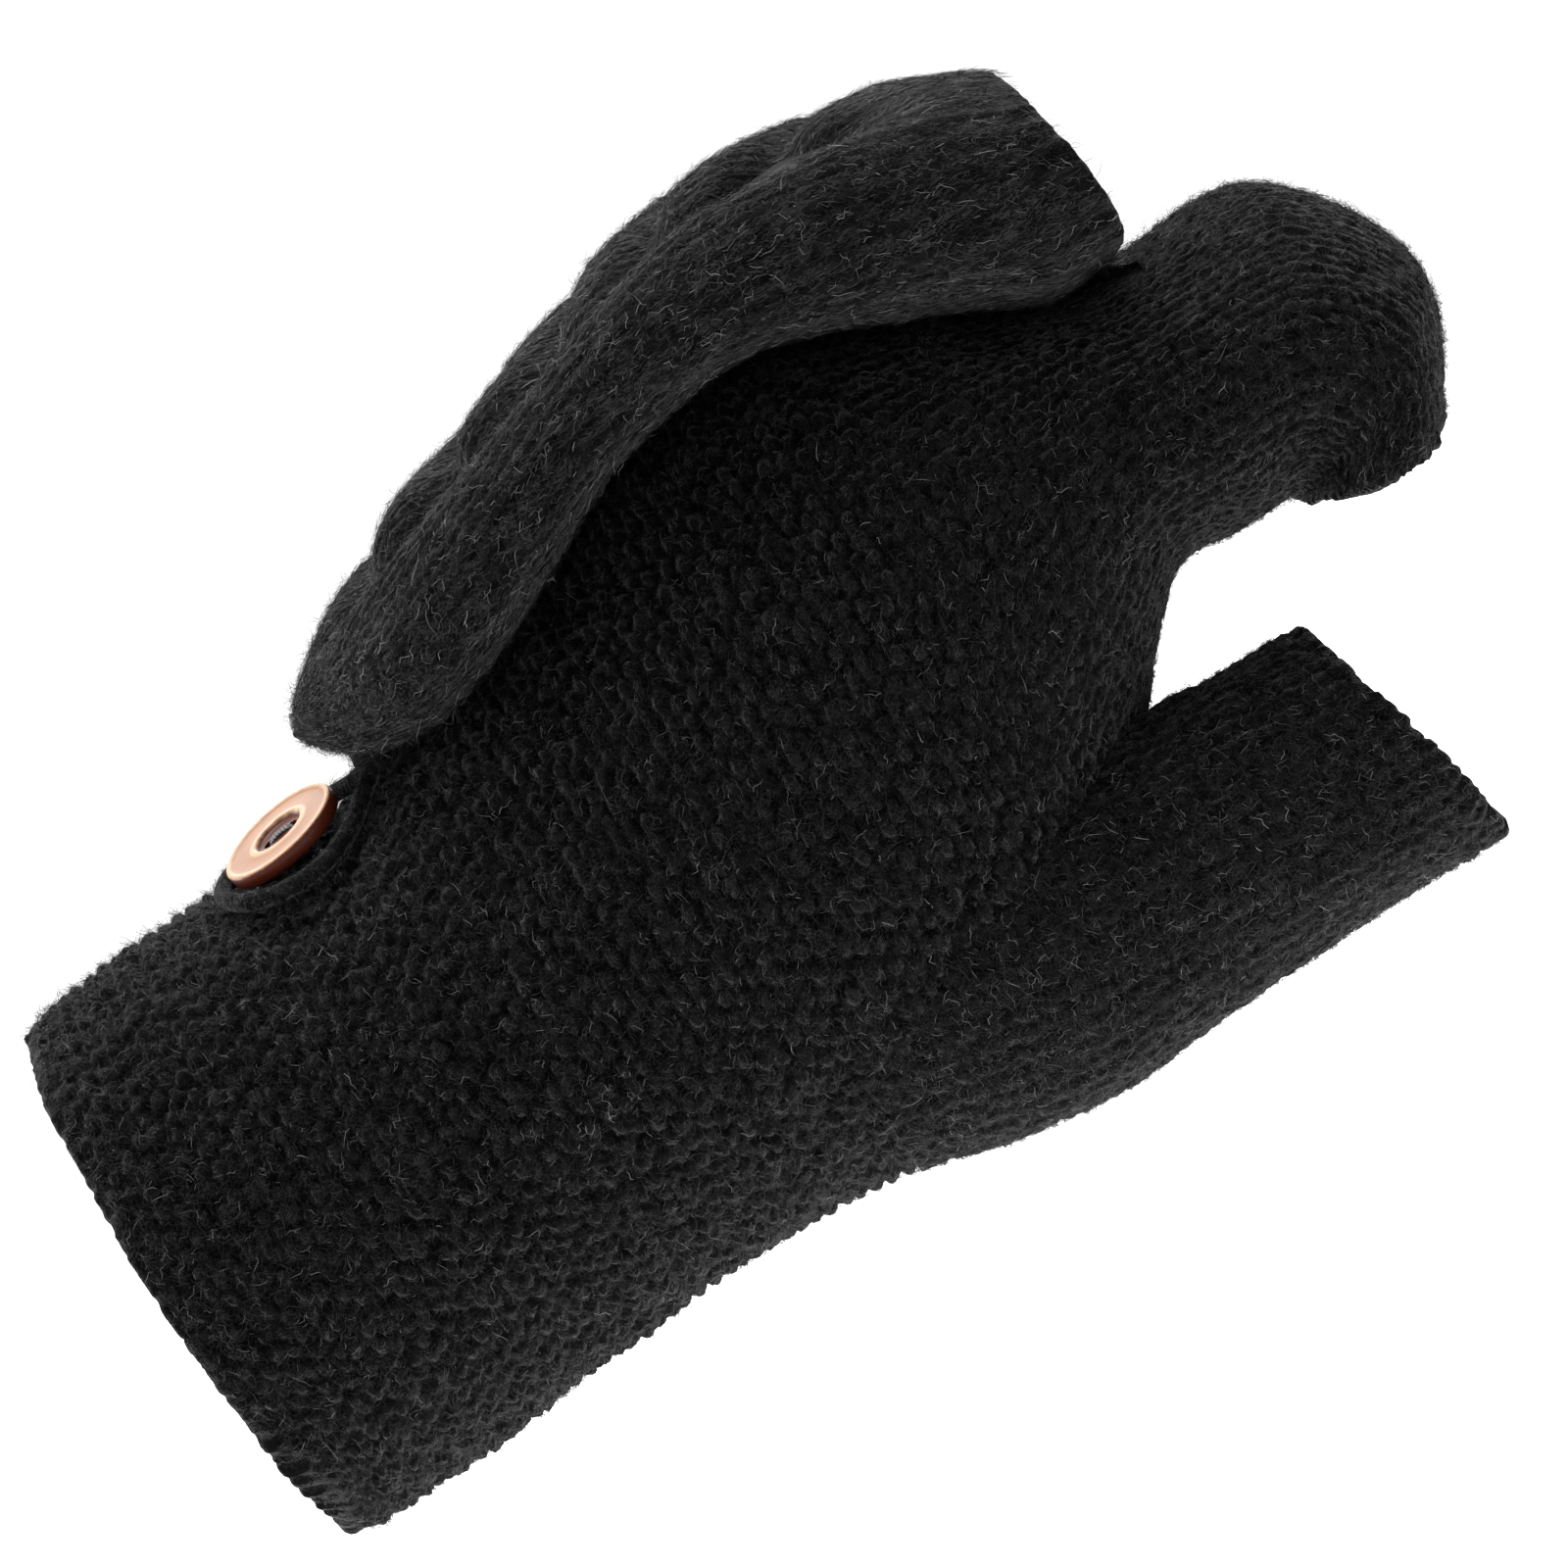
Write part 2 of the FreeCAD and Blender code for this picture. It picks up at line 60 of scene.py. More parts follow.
def make_camera():
    """Looks along +Y, a little down, and rolled so that the hand points up to the right."""
    tilt = math.radians(8)
    roll = math.radians(33)
    across = Vector((1, 0, 0))
    forward = Vector((0, math.cos(tilt), -math.sin(tilt)))
    upward = Vector((0, math.sin(tilt), math.cos(tilt)))
    right = across * math.cos(roll) - upward * math.sin(roll)
    top = across * math.sin(roll) + upward * math.cos(roll)
    camera = bpy.data.objects.new("camera", bpy.data.cameras.new("camera"))
    camera.data.lens = 135
    camera.data.sensor_width = 36
    camera.data.clip_start = 0.05
    camera.data.clip_end = 50
    matrix = Matrix((right, top, -forward)).transposed().to_4x4()
    matrix.translation = Vector((0.078, 0, 0.0101)) - forward * 0.6
    camera.matrix_world = matrix
    scene.collection.objects.link(camera)
    scene.camera = camera


def area_light(name, place, target, size, power):
    """A soft square light that looks at a target."""
    light = bpy.data.objects.new(name, bpy.data.lights.new(name, "AREA"))
    light.data.shape = "SQUARE"
    light.data.size = size
    light.data.energy = power
    light.location = place
    light.rotation_euler = (Vector(target) - Vector(place)).to_track_quat("-Z", "Y").to_euler()
    light.visible_camera = False
    scene.collection.objects.link(light)


def make_studio():
    """A pale floor, a pale even surround and soft lights from above, the left, behind and below."""
    world = bpy.data.worlds.new("studio")
    world.use_nodes = True
    background = world.node_tree.nodes["Background"]
    background.inputs["Color"].default_value = (1, 1, 1, 1)
    background.inputs["Strength"].default_value = 1.12
    scene.world = world
    scene.view_settings.view_transform = "Standard"
    centre = (0.08, 0, 0.01)
    area_light("light_top", (0.02, 0.12, 0.75), centre, 0.5, 13)
    area_light("light_left", (-0.55, -0.30, 0.45), centre, 0.4, 4)
    area_light("light_behind", (0.15, 0.70, 0.30), centre, 0.6, 7)
    area_light("light_below", (0.09, 0.0, -0.105), (0.0901, 0.0, 0.0), 0.26, 0.6)
    area_light("light_left_behind", (-0.40, 0.25, 0.10), (0.03, 0, 0.0), 0.3, 4)

    sides = 48
    reach = 6.0
    floor_mesh = bpy.data.meshes.new("floor")
    turns = [2 * math.pi * number / sides for number in range(sides)]
    corners = [(reach * math.cos(turn), reach * math.sin(turn), 0) for turn in turns]
    floor_mesh.from_pydata(corners, [], [list(range(sides))])
    floor = bpy.data.objects.new("floor", floor_mesh)
    floor.location = (0.08, 0, -0.11)
    scene.collection.objects.link(floor)
    paper = bpy.data.materials.new("pale_paper")
    paper.use_nodes = True
    shader = paper.node_tree.nodes["Principled BSDF"]
    shader.inputs["Base Color"].default_value = (0.93, 0.93, 0.93, 1)
    shader.inputs["Roughness"].default_value = 0.9
    floor_mesh.materials.append(paper)


def piece(thing, body, slot, *nodes):
    """Puts a piece on its body and hides the parts that it stands for; slot is not used."""
    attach(thing, body)
    if nodes:
        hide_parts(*nodes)
    return thing


# ---------------------------------------------------------------- number helpers


def chance(a, b, seed):
    """An even spread of numbers from 0 to 1, fixed by two whole numbers and a seed."""
    return np.modf(np.abs(np.sin(a * 12.9898 + b * 78.233 + seed * 37.719) * 43758.5453))[0]


def value_noise(points, cell, seed):
    """Smooth noise from 0 to 1 in space; points and cell are in mm."""
    scaled = points / cell
    base = np.floor(scaled)
    part = scaled - base
    part = part * part * (3 - 2 * part)
    total = 0
    for dx in (0, 1):
        for dy in (0, 1):
            for dz in (0, 1):
                corner = chance(base[..., 0] + dx + 57 * (base[..., 2] + dz), base[..., 1] + dy, seed)
                weight = (
                    (part[..., 0] if dx else 1 - part[..., 0])
                    * (part[..., 1] if dy else 1 - part[..., 1])
                    * (part[..., 2] if dz else 1 - part[..., 2])
                )
                total = total + corner * weight
    return total


def ramp(value, low, high):
    """0 below low, 1 above high, and smooth in between."""
    share = np.clip((value - low) / (high - low), 0, 1)
    return share * share * (3 - 2 * share)


def bell(value, middle, spread):
    """A smooth bump, 1 high at its middle."""
    return np.exp(-(((value - middle) / spread) ** 2))


def smooth(knots, values, at):
    """A smooth curve through values at the knots, read at other places."""
    knots = np.asarray(knots, float)
    values = np.asarray(values, float)
    steps = np.diff(knots)
    slopes = np.diff(values, axis=0) / steps[:, None]
    share = (steps[:-1] / (steps[:-1] + steps[1:]))[:, None]
    tangents = np.vstack([slopes[:1], slopes[:-1] * (1 - share) + slopes[1:] * share, slopes[-1:]])
    number = np.clip(np.searchsorted(knots, at, side="right") - 1, 0, len(steps) - 1)
    step = steps[number][:, None]
    t = ((at - knots[number]) / steps[number])[:, None]
    return (
        values[number] * (2 * t**3 - 3 * t**2 + 1)
        + tangents[number] * step * (t**3 - 2 * t**2 + t)
        + values[number + 1] * (3 * t**2 - 2 * t**3)
        + tangents[number + 1] * step * (t**3 - t**2)
    )


# ---------------------------------------------------------------- knitted surfaces


def station(low, high, half_width, squareness=2.0):
    """One cross-section: its low point, its high point, its half width and how boxy it is."""
    return [*low, *high, half_width, squareness]


class Knit:
    """A knitted tube: rings of points on its outside, with distances along and around it, in mm."""

    def __init__(self, stations, spacing, count, first=None, last=None):
        stations = np.array(stations, float)
        moves = np.diff(stations[:, :6].reshape(-1, 2, 3), axis=0)
        knots = np.concatenate([[0], np.cumsum(np.linalg.norm(moves, axis=2).mean(axis=1))])
        self.knots = knots
        start = 0 if first is None else first
        end = knots[-1] if last is None else last
        rows = max(2, int(round((end - start) / spacing)) + 1)
        run = smooth(knots, stations, np.linspace(start, end, rows))
        low, high, half_width, squareness = run[:, 0:3], run[:, 3:6], run[:, 6], run[:, 7]
        centre = (low + high) / 2
        half_height = np.linalg.norm(high - low, axis=1) / 2
        up = (high - low) / (2 * half_height[:, None])
        turn = np.linspace(0, 2 * math.pi, 721)     # every half degree
        power = 2 / squareness[:, None]
        side = np.sign(np.cos(turn)) * np.abs(np.cos(turn)) ** power * half_width[:, None]
        rise = np.sign(np.sin(turn)) * np.abs(np.sin(turn)) ** power * half_height[:, None]
        dense = centre[:, None] + rise[..., None] * up[:, None]
        dense[..., 1] += side
        hops = np.linalg.norm(np.diff(dense, axis=1), axis=2)
        around = np.concatenate([np.zeros((rows, 1)), np.cumsum(hops, axis=1)], axis=1)
        self.base = np.empty((rows, count, 3))
        for number in range(rows):
            places = np.arange(count) / count * around[number, -1]
            for axis in range(3):
                self.base[number, :, axis] = np.interp(places, around[number], dense[number, :, axis])
        self.half_width = half_width
        self.perimeter = around[:, -1]
        self.share = np.broadcast_to(np.arange(count) / count, (rows, count))
        lengths = np.linalg.norm(np.diff(self.base, axis=0), axis=2)
        self.along = start + np.concatenate([np.zeros((1, count)), np.cumsum(lengths, axis=0)])
        self.points = self.base
        self.depth = np.ones((rows, count))

    def frame(self):
        """Unit vectors along the tube, around it and out of it, at each point."""
        along = np.gradient(self.points, axis=0)
        around = np.roll(self.points, -1, axis=1) - np.roll(self.points, 1, axis=1)
        along /= np.linalg.norm(along, axis=2, keepdims=True) + 1e-9
        around /= np.linalg.norm(around, axis=2, keepdims=True) + 1e-9
        out = np.cross(around, along)
        out /= np.linalg.norm(out, axis=2, keepdims=True) + 1e-9
        middle = self.points.mean(axis=1, keepdims=True)
        if ((self.points - middle) * out).sum() < 0:
            out = -out
        return along, around, out

    def raise_by(self, height):
        """Moves the outside out of the fabric by a height at each point."""
        _, _, out = self.frame()
        self.points = self.points + out * height[..., None]
        return self

    def row_distance(self):
        """The distance along of each ring."""
        return self.along.mean(axis=1)

    def part(self, start, end):
        """The rings from one distance along to another, both included."""
        middle = self.row_distance()
        first = int(np.argmin(np.abs(middle - start)))
        last = int(np.argmin(np.abs(middle - end)))
        section = object.__new__(Knit)
        for name in ("base", "half_width", "perimeter", "share", "along", "points", "depth"):
            setattr(section, name, getattr(self, name)[first:last + 1])
        return section

    def inside(self, rows, wall):
        """The rings of the fabric's inside at some rows, from the last one back to the first."""
        plain = object.__new__(Knit)
        plain.points = self.base
        out = plain.frame()[2]
        return (self.base - out * wall)[rows][::-1]


def stitches(knit, row, columns, length, width, tilt, seed, jitter=0.35, stagger=0.5):
    """Height from 0 to 1 of rounded stitches. Rows lie row mm apart, and columns go round the tube.

    Length and width are shares of a row and of a column, and tilt slants every other column.
    """
    s = knit.along / row
    t = knit.share * columns
    best = np.zeros_like(s)
    first_row = np.floor(s)
    for row_step in (-1, 0, 1):
        r = first_row + row_step
        shift = stagger * np.mod(r, 2)
        first_column = np.floor(t - shift + 0.5)
        for column_step in (-1, 0, 1):
            c = first_column + column_step
            key = np.mod(c, columns)
            ds = s - (r + 0.5 + jitter * (chance(r, key, seed) - 0.5))
            dt = t - (c + shift + jitter * (chance(r, key, seed + 1) - 0.5))
            slant = tilt * (1 - 2 * np.mod(c, 2)) + 0.25 * (chance(r, key, seed + 2) - 0.5)
            u = (ds * np.cos(slant) + dt * np.sin(slant)) / length
            v = (dt * np.cos(slant) - ds * np.sin(slant)) / width
            size = 0.75 + 0.5 * chance(r, key, seed + 3)
            best = np.maximum(best, size * np.clip(1 - (u * u + v * v), 0, 1) ** 0.75)
    return np.clip(best, 0, 1)


def purl(knit, seed):
    """Coarse staggered purl bumps, as on the cuff and hand."""
    return stitches(knit, ROW, columns=84, length=0.46, width=0.58, tilt=0.42, seed=seed, jitter=0.42)


def fine(knit, columns, seed):
    """Fine slanted stitches in pairs, as on the thumb tube and finger sleeve."""
    return stitches(
        knit, ROW, columns, length=0.80, width=0.46, tilt=0.55, seed=seed, jitter=0.3, stagger=0.0)


def new_object(name, verts, faces, material):
    """A mesh object, in metres, from points in mm and four-cornered faces."""
    verts = np.asarray(verts, float) * MM
    faces = np.asarray(faces, np.int32)
    mesh = bpy.data.meshes.new(name)
    mesh.vertices.add(len(verts))
    mesh.vertices.foreach_set("co", verts.astype(np.float32).ravel())
    mesh.loops.add(faces.size)
    mesh.loops.foreach_set("vertex_index", faces.ravel())
    mesh.polygons.add(len(faces))
    mesh.polygons.foreach_set("loop_start", np.arange(0, faces.size, faces.shape[1], dtype=np.int32))
    mesh.polygons.foreach_set("use_smooth", np.ones(len(faces), bool))
    mesh.update(calc_edges=True)
    mesh.validate()
    mesh.materials.append(material)
    thing = bpy.data.objects.new(name, mesh)
    scene.collection.objects.link(thing)
    return thing


def set_attribute(thing, name, values):
    """A number on each point of a mesh, for its material."""
    attribute = thing.data.attributes.new(name, "FLOAT", "POINT")
    attribute.data.foreach_set("value", np.asarray(values, np.float32).ravel())


def ring_faces(rows, count, closed=False):
    """Four-cornered faces between rings of points. Closed also joins the last ring to the first."""
    r = np.arange(rows if closed else rows - 1)[:, None]
    c = np.arange(count)[None, :]
    following = (c + 1) % count
    above = (r + 1) % rows
    return np.stack([r * count + c, r * count + following, above * count + following, above * count + c], -1)


def shell(name, knit, material, rim_start=False, rim_end=False, keep=None, inner_step=5, wall=WALL):
    """A fabric tube with an outside, an inside and rounded or plain ends.

    Keep tells which points stay, so that one tube can open into another.
    """
    along = knit.frame()[0]
    rings = [knit.points]
    depths = [knit.depth]
    inside = knit.inside(
        np.unique(np.r_[0, np.arange(0, len(knit.points), inner_step), len(knit.points) - 1]), wall)

    def rim(outer, inner, direction):
        middle = (outer + inner) / 2
        radial = (outer - inner) / 2
        reach = np.linalg.norm(radial, axis=1, keepdims=True) * direction
        turns = np.linspace(0, math.pi, 7)[1:-1]
        return np.array([middle + radial * math.cos(turn) + reach * math.sin(turn) for turn in turns])

    def add_rings(points, depth):
        rings.append(points)
        depths.append(np.full(points.shape[:2], depth))

    if rim_end:
        add_rings(rim(knit.points[-1], inside[0], along[-1]), 0.8)
    add_rings(inside, 0.35)
    if rim_start:
        add_rings(rim(knit.points[0], inside[-1], -along[0])[::-1], 0.8)
    points = np.concatenate(rings)
    faces = ring_faces(len(points), points.shape[1], closed=True).reshape(-1, 4)
    flat = points.reshape(-1, 3)
    if keep is not None:
        kept = keep(flat)
        faces = faces[kept[faces].any(axis=1)]
    thing = new_object(name, flat, faces, material)
    # The stitch height also darkens the knit colour in low places, as painted shade between the stitches.
    set_attribute(thing, "stitch_height", np.concatenate(depths))
    return thing


def capped(name, knit, material, tip, inner_step=5, narrowest=9):
    """As shell, but its outside closes round a tip point, and its inside does so where it gets narrow."""
    rows = np.arange(0, len(knit.points), inner_step)
    inside = knit.inside(rows[knit.half_width[rows] > narrowest], WALL)
    tip = np.array(tip, float)
    outer_cap = [tip + (knit.points[-1] - tip) * share for share in (0.7, 0.4, 0.12)]
    inner_tip = inside[0].mean(axis=0)
    inner_cap = [inner_tip + (inside[0] - inner_tip) * share for share in (0.1, 0.4, 0.75)]
    points = np.concatenate([knit.points, outer_cap, inner_cap, inside])
    faces = ring_faces(len(points), points.shape[1], closed=True).reshape(-1, 4)
    bridge = len(knit.points) + len(outer_cap) - 1
    count = points.shape[1]
    keep = np.ones(len(faces), bool)
    keep[bridge * count:(bridge + 1) * count] = False
    thing = new_object(name, points.reshape(-1, 3), faces[keep], material)
    depth = np.full(points.shape[:2], 0.5)
    depth[:len(knit.points)] = knit.depth
    set_attribute(thing, "stitch_height", depth)
    return thing


# ---------------------------------------------------------------- fibres


def ribbons(name, paths, widths, facing, tones, material):
    """Thin fibres, each a ribbon along a path. Paths are fibres x points x 3, in mm."""
    count, steps, _ = paths.shape
    along = np.gradient(paths, axis=1)
    side = np.cross(along, facing[:, None])
    side /= np.linalg.norm(side, axis=2, keepdims=True) + 1e-9
    taper = np.interp(np.linspace(0, 1, steps), [0, 0.15, 0.7, 1], [0.8, 1, 0.9, 0.25])
    half = side * (widths[:, None] * taper[None])[..., None] / 2
    verts = np.stack([paths - half, paths + half], axis=2).reshape(-1, 3)
    start = np.arange(count)[:, None] * steps * 2
    number = np.arange(steps - 1)[None, :] * 2
    corner = (start + number)[..., None]
    faces = (corner + np.array([0, 1, 3, 2])).reshape(-1, 4)
    thing = new_object(name, verts, faces, material)
    set_attribute(thing, "tone", np.repeat(tones, steps * 2))
    return thing


def fuzz(name, knit, count, seed, length=(0.5, 2.1), width=0.046, lift=0.30, spread=1.2, curl=0.5,
         tone=(0.1, 1.0), keep=None):
    """Short curved fibres that lie on a knitted surface and stand a little off it, in mm.

    Spread is how far they turn, in radians, from the way along the tube.
    """
    rng = np.random.default_rng(seed)
    along, around, out = knit.frame()
    area = np.ones(knit.points.shape[:2])
    area[:-1] = np.linalg.norm(np.diff(knit.points, axis=0), axis=2)
    area *= knit.perimeter[:, None] / knit.points.shape[1]
    if keep is not None:
        area = area * keep(knit.points.reshape(-1, 3)).reshape(area.shape)
    odds = np.cumsum(area.ravel())
    chosen = np.searchsorted(odds, rng.random(count) * odds[-1])
    chosen = np.minimum(chosen, area.size - 1)
    root = knit.points.reshape(-1, 3)[chosen] + rng.normal(0, 0.12, (count, 3))
    a = along.reshape(-1, 3)[chosen]
    b = around.reshape(-1, 3)[chosen]
    n = out.reshape(-1, 3)[chosen]
    angle = rng.normal(0, spread, count) + math.pi * rng.integers(0, 2, count)
    direction = a * np.cos(angle)[:, None] + b * np.sin(angle)[:, None]
    sideways = b * np.cos(angle)[:, None] - a * np.sin(angle)[:, None]
    reach = rng.uniform(*length, count) * rng.uniform(0.6, 1.0, count)
    bend = rng.normal(0, curl, count) * reach
    wave = rng.normal(0, 0.35 * curl, count) * reach
    rise = np.abs(rng.normal(0, lift, count))
    droop = rng.random(count)
    t = np.linspace(0, 1, FIBRE_POINTS)
    paths = (
        root[:, None]
        + direction[:, None] * (reach[:, None] * t)[..., None]
        + sideways[:, None] * (bend[:, None] * t**2 + wave[:, None] * np.sin(2 * math.pi * t))[..., None]
        + n[:, None] * (0.03 + rise[:, None] * (t - droop[:, None] * t**3))[..., None]
    )
    facing = n + rng.normal(0, 0.7, (count, 3))
    facing /= np.linalg.norm(facing, axis=1, keepdims=True)
    widths = width * rng.uniform(0.6, 1.2, count)
    tones = rng.uniform(*tone, count) * rng.uniform(0.4, 1, count)
    return ribbons(name, paths, widths, facing, tones, FIBRE)


# ---------------------------------------------------------------- materials


class Nodes:
    """A new node material, with short ways to add nodes to it."""

    def __init__(self, name):
        self.material = bpy.data.materials.new(name)
        self.material.use_nodes = True
        self.tree = self.material.node_tree
        self.place = self.add("TexCoord", output="Object")

    def feed(self, node, inputs):
        """Sets a node's inputs to values, or joins them to outputs of other nodes."""
        for key, value in inputs.items():
            if isinstance(value, bpy.types.NodeSocket):
                self.tree.links.new(value, node.inputs[key])
            else:
                node.inputs[key].default_value = value

    def add(self, kind, inputs=None, output=0, **settings):
        """Adds a node and gives one of its outputs."""
        node = self.tree.nodes.new("ShaderNode" + kind)
        for key, value in settings.items():
            setattr(node, key, value)
        self.feed(node, inputs or {})
        return node.outputs[output]

    def noise(self, vector, scale, **inputs):
        return self.add("TexNoise", {"Vector": vector, "Scale": scale, **inputs}, "Fac")

    def math(self, operation, *inputs):
        return self.add("Math", dict(enumerate(inputs)), operation=operation)

    def spread(self, value, low, high, start=0.0, end=1.0):
        """From low to high as a value goes from start to end."""
        return self.add("MapRange", {
            "Value": value, "From Min": start, "From Max": end, "To Min": low, "To Max": high})

    def blend(self, kind, factor, first, second):
        """Two colours mixed; 6, 7 and 2 are the node's colour sockets."""
        inputs = {"Factor": factor, 6: first, 7: second}
        return self.add("Mix", inputs, 2, data_type="RGBA", blend_type=kind)

    def colours(self, factor, *stops):
        """A colour ramp with stops of (position, colour)."""
        colour = self.add("ValToRGB", {"Fac": factor}, "Color")
        elements = colour.node.color_ramp.elements
        while len(elements) < len(stops):
            elements.new(0.5)
        for element, (position, value) in zip(elements, stops):
            element.position = position
            element.color = value
        return colour

    def bumps(self, height, strength, distance):
        return self.add("Bump", {"Height": height, "Strength": strength, "Distance": distance})

    def finish(self, inputs):
        """Sets the shader's inputs, and gives the material."""
        self.feed(self.tree.nodes["Principled BSDF"], inputs)
        return self.material


def grey(value):
    """A grey that is a touch blue."""
    return (value, value, value * 1.03, 1)


def knit_material(name, dark=0.0006, light=0.0032, stretch=(1, 1, 1), bump=0.5, sheen=0.32, hair=0.012):
    """Black brushed knit, mottled and matted with short curled hairs, with painted shade between the stitches:
    darker where the stitch height is low.
    """
    nodes = Nodes(name)

    def moved(offset):
        return nodes.add("Mapping", {"Vector": nodes.place, "Scale": stretch, "Location": offset})

    def hairs(offset, scale, width):
        """Thin curled lines: where a smooth noise passes through its middle value, in patches."""
        vector = moved(offset)
        noise = nodes.noise(vector, scale, Detail=1.5, Roughness=0.5, Distortion=1.3)
        patch = nodes.noise(vector, scale * 0.45, Detail=1.0)
        off_middle = nodes.math("ABSOLUTE", nodes.math("SUBTRACT", noise, 0.5))
        line = nodes.spread(off_middle, 1.0, 0.0, end=width)
        return nodes.math("MULTIPLY", line, nodes.spread(patch, 0.0, 1.0, start=0.44, end=0.60))

    layers = hairs((0, 0, 0), 900, 0.03)
    layers = nodes.math("ADD", layers, hairs((3, 1, 2), 1400, 0.045))
    layers = nodes.math("ADD", layers, hairs((1, 5, 4), 2000, 0.06))
    height = nodes.add("Attribute", output="Fac", attribute_name="stitch_height")
    mottle = nodes.noise(moved((0, 0, 0)), 420.0, Detail=4.0, Roughness=0.65)
    # Painted shade: the colour darkens where the stitch height is low, between the stitches; the mottle is the
    # fabric's own uneven tone.
    yarn_and_gap_shade = nodes.colours(
        nodes.math("MULTIPLY", height, mottle),
        (0.10, grey(dark)), (0.36, grey((dark + light) / 2)), (0.62, grey(light)))
    glints = nodes.colours(layers, (0.10, grey(0.0)), (1.0, grey(hair)))
    relief = nodes.math("MULTIPLY_ADD", layers, 0.7, mottle)
    return nodes.finish({
        "Base Color": nodes.blend("ADD", 1.0, yarn_and_gap_shade, glints),
        "Normal": nodes.bumps(relief, bump, 0.0005),
        "Roughness": nodes.spread(mottle, 0.80, 1.0),
        "Specular IOR Level": 0.02,
        "Sheen Weight": sheen,
        "Sheen Roughness": 0.17,
        "Sheen Tint": grey(0.5),
    })


def fibre_material():
    """Loose fibres: from black to light grey, a little glossy."""
    nodes = Nodes("loose_fibre")
    tone = nodes.add("Attribute", output="Fac", attribute_name="tone")
    return nodes.finish({
        "Base Color": nodes.colours(
            tone, (0.0, grey(0.0010)), (0.40, grey(0.0045)), (0.70, grey(0.018)), (1.0, grey(0.15))),
        "Roughness": nodes.spread(nodes.noise(nodes.place, 300.0, Detail=2.0), 0.45, 0.75),
        "Specular IOR Level": 0.10,
    })


def thread_material():
    """Black sewing thread with its twist."""
    nodes = Nodes("black_thread")
    twist = nodes.add(
        "TexWave", {"Vector": nodes.place, "Scale": 1500.0, "Distortion": 3.0, "Detail": 2.0}, "Fac",
        bands_direction="DIAGONAL")
    return nodes.finish({
        "Base Color": nodes.colours(twist, (0.2, grey(0.006)), (0.9, grey(0.035))),
        "Normal": nodes.bumps(twist, 0.6, 0.0002),
        "Roughness": 0.6,
        "Sheen Weight": 0.15,
    })


make_camera()
make_studio()
PURL = knit_material("purl_knit")
FINE = knit_material("fine_knit", light=0.0030)
HOOD = knit_material(
    "hood_knit", dark=0.0008, light=0.0040, stretch=(0.3, 1, 1), bump=0.4, sheen=0.22, hair=0.016)
CORD = knit_material("cord_yarn", dark=0.0020, light=0.0060)
FIBRE = fibre_material()
THREAD = thread_material()

# ---------------------------------------------------------------- cord loop

CORD_WIDTH = 1.9        # mm
CORD_ROUTE = (          # from the hood's tip, round the button's shank and back, in mm
    (46.0, -6.9, 36.9), (44.6, -6.6, 35.5), (42.7, -5.4, 34.9), (40.6, -2.9, 34.6), (37.9, -0.2, 34.5),
    (34.3, 1.3, 34.3), (30.2, 0.4, 34.0), (26.7, -2.5, 33.6), (24.8, -6.6, 33.0), (24.9, -10.9, 32.2),
    (27.3, -14.7, 31.2), (31.2, -17.0, 30.5), (35.4, -16.9, 30.6), (39.0, -14.5, 31.6), (41.5, -11.7, 33.2),
    (43.3, -9.9, 34.6), (44.9, -9.2, 35.8), (46.2, -8.9, 36.9),
)


def make_cord():
    """The loop of cord from the hood's tip round the button, and the line that it follows."""
    curve = bpy.data.curves.new("cord_loop", "CURVE")
    curve.dimensions = "3D"
    curve.resolution_u = 6
    spline = curve.splines.new("NURBS")
    spline.points.add(len(CORD_ROUTE) - 1)
    for point, place in zip(spline.points, CORD_ROUTE):
        point.co = (*(Vector(place) * MM), 1)
    spline.order_u = 3
    spline.use_endpoint_u = True
    cord = bpy.data.objects.new("cord_loop", curve)
    scene.collection.objects.link(cord)
    bpy.context.view_layer.update()
    line = bpy.data.meshes.new_from_object(cord)
    path = np.array([vertex.co[:] for vertex in line.vertices]) / MM
    curve.bevel_depth = CORD_WIDTH / 2 * MM
    curve.bevel_resolution = 4
    curve.use_fill_caps = True
    curve.materials.append(CORD)
    piece(cord, "loop", "cord", "button_loop", "loop_stem")
    return path


cord_path = make_cord()

# ---------------------------------------------------------------- glove body

HAND = 111.0        # from the wrist opening to the knuckles, mm
HALF = 37.5         # half the hand's width, mm
KNUCKLE = 35.0      # half the hand's height at the knuckles, mm
CUFF_END = 26       # where the cuff meets the hand, mm along the glove
MID_HAND = 68       # where the hand is split in two pieces, mm along the glove
BODY_SHARES = (     # along in shares of HAND, half width of HALF, top and bottom of KNUCKLE
    (0.00, 0.827, 0.90, -0.886),
    (0.11, 0.840, 0.93, -0.891),
    (0.30, 0.867, 0.935, -0.846),
    (0.50, 0.920, 1.03, -0.830),
    (0.68, 0.981, 1.265, -0.865),
    (0.83, 1.000, 1.385, -0.77),
    (1.00, 0.987, 1.245, -0.17),
)
body_stations = [
    station((along * HAND, 0, bottom * KNUCKLE), (along * HAND, 0, top * KNUCKLE), width * HALF)
    for along, width, top, bottom in BODY_SHARES
]
sleeve_stations = [
    station((HAND + 12, 0, 7.3), (HAND + 13, 0, KNUCKLE + 2.3), 0.96 * HALF),
    station((HAND + 19, 0, 8.0), (HAND + 26, 0, KNUCKLE + 1.0), 0.94 * HALF),
    station((HAND + 24, 0, 8.6), (HAND + 40.3, 0, KNUCKLE - 0.6), 0.932 * HALF),
    station((HAND + 25.6, 0, 8.4), (HAND + 48, 0, 20.8), 0.92 * HALF),
    station((HAND + 26, 0, 8.0), (HAND + 42.5, 0, 8.4), 0.893 * HALF),
]
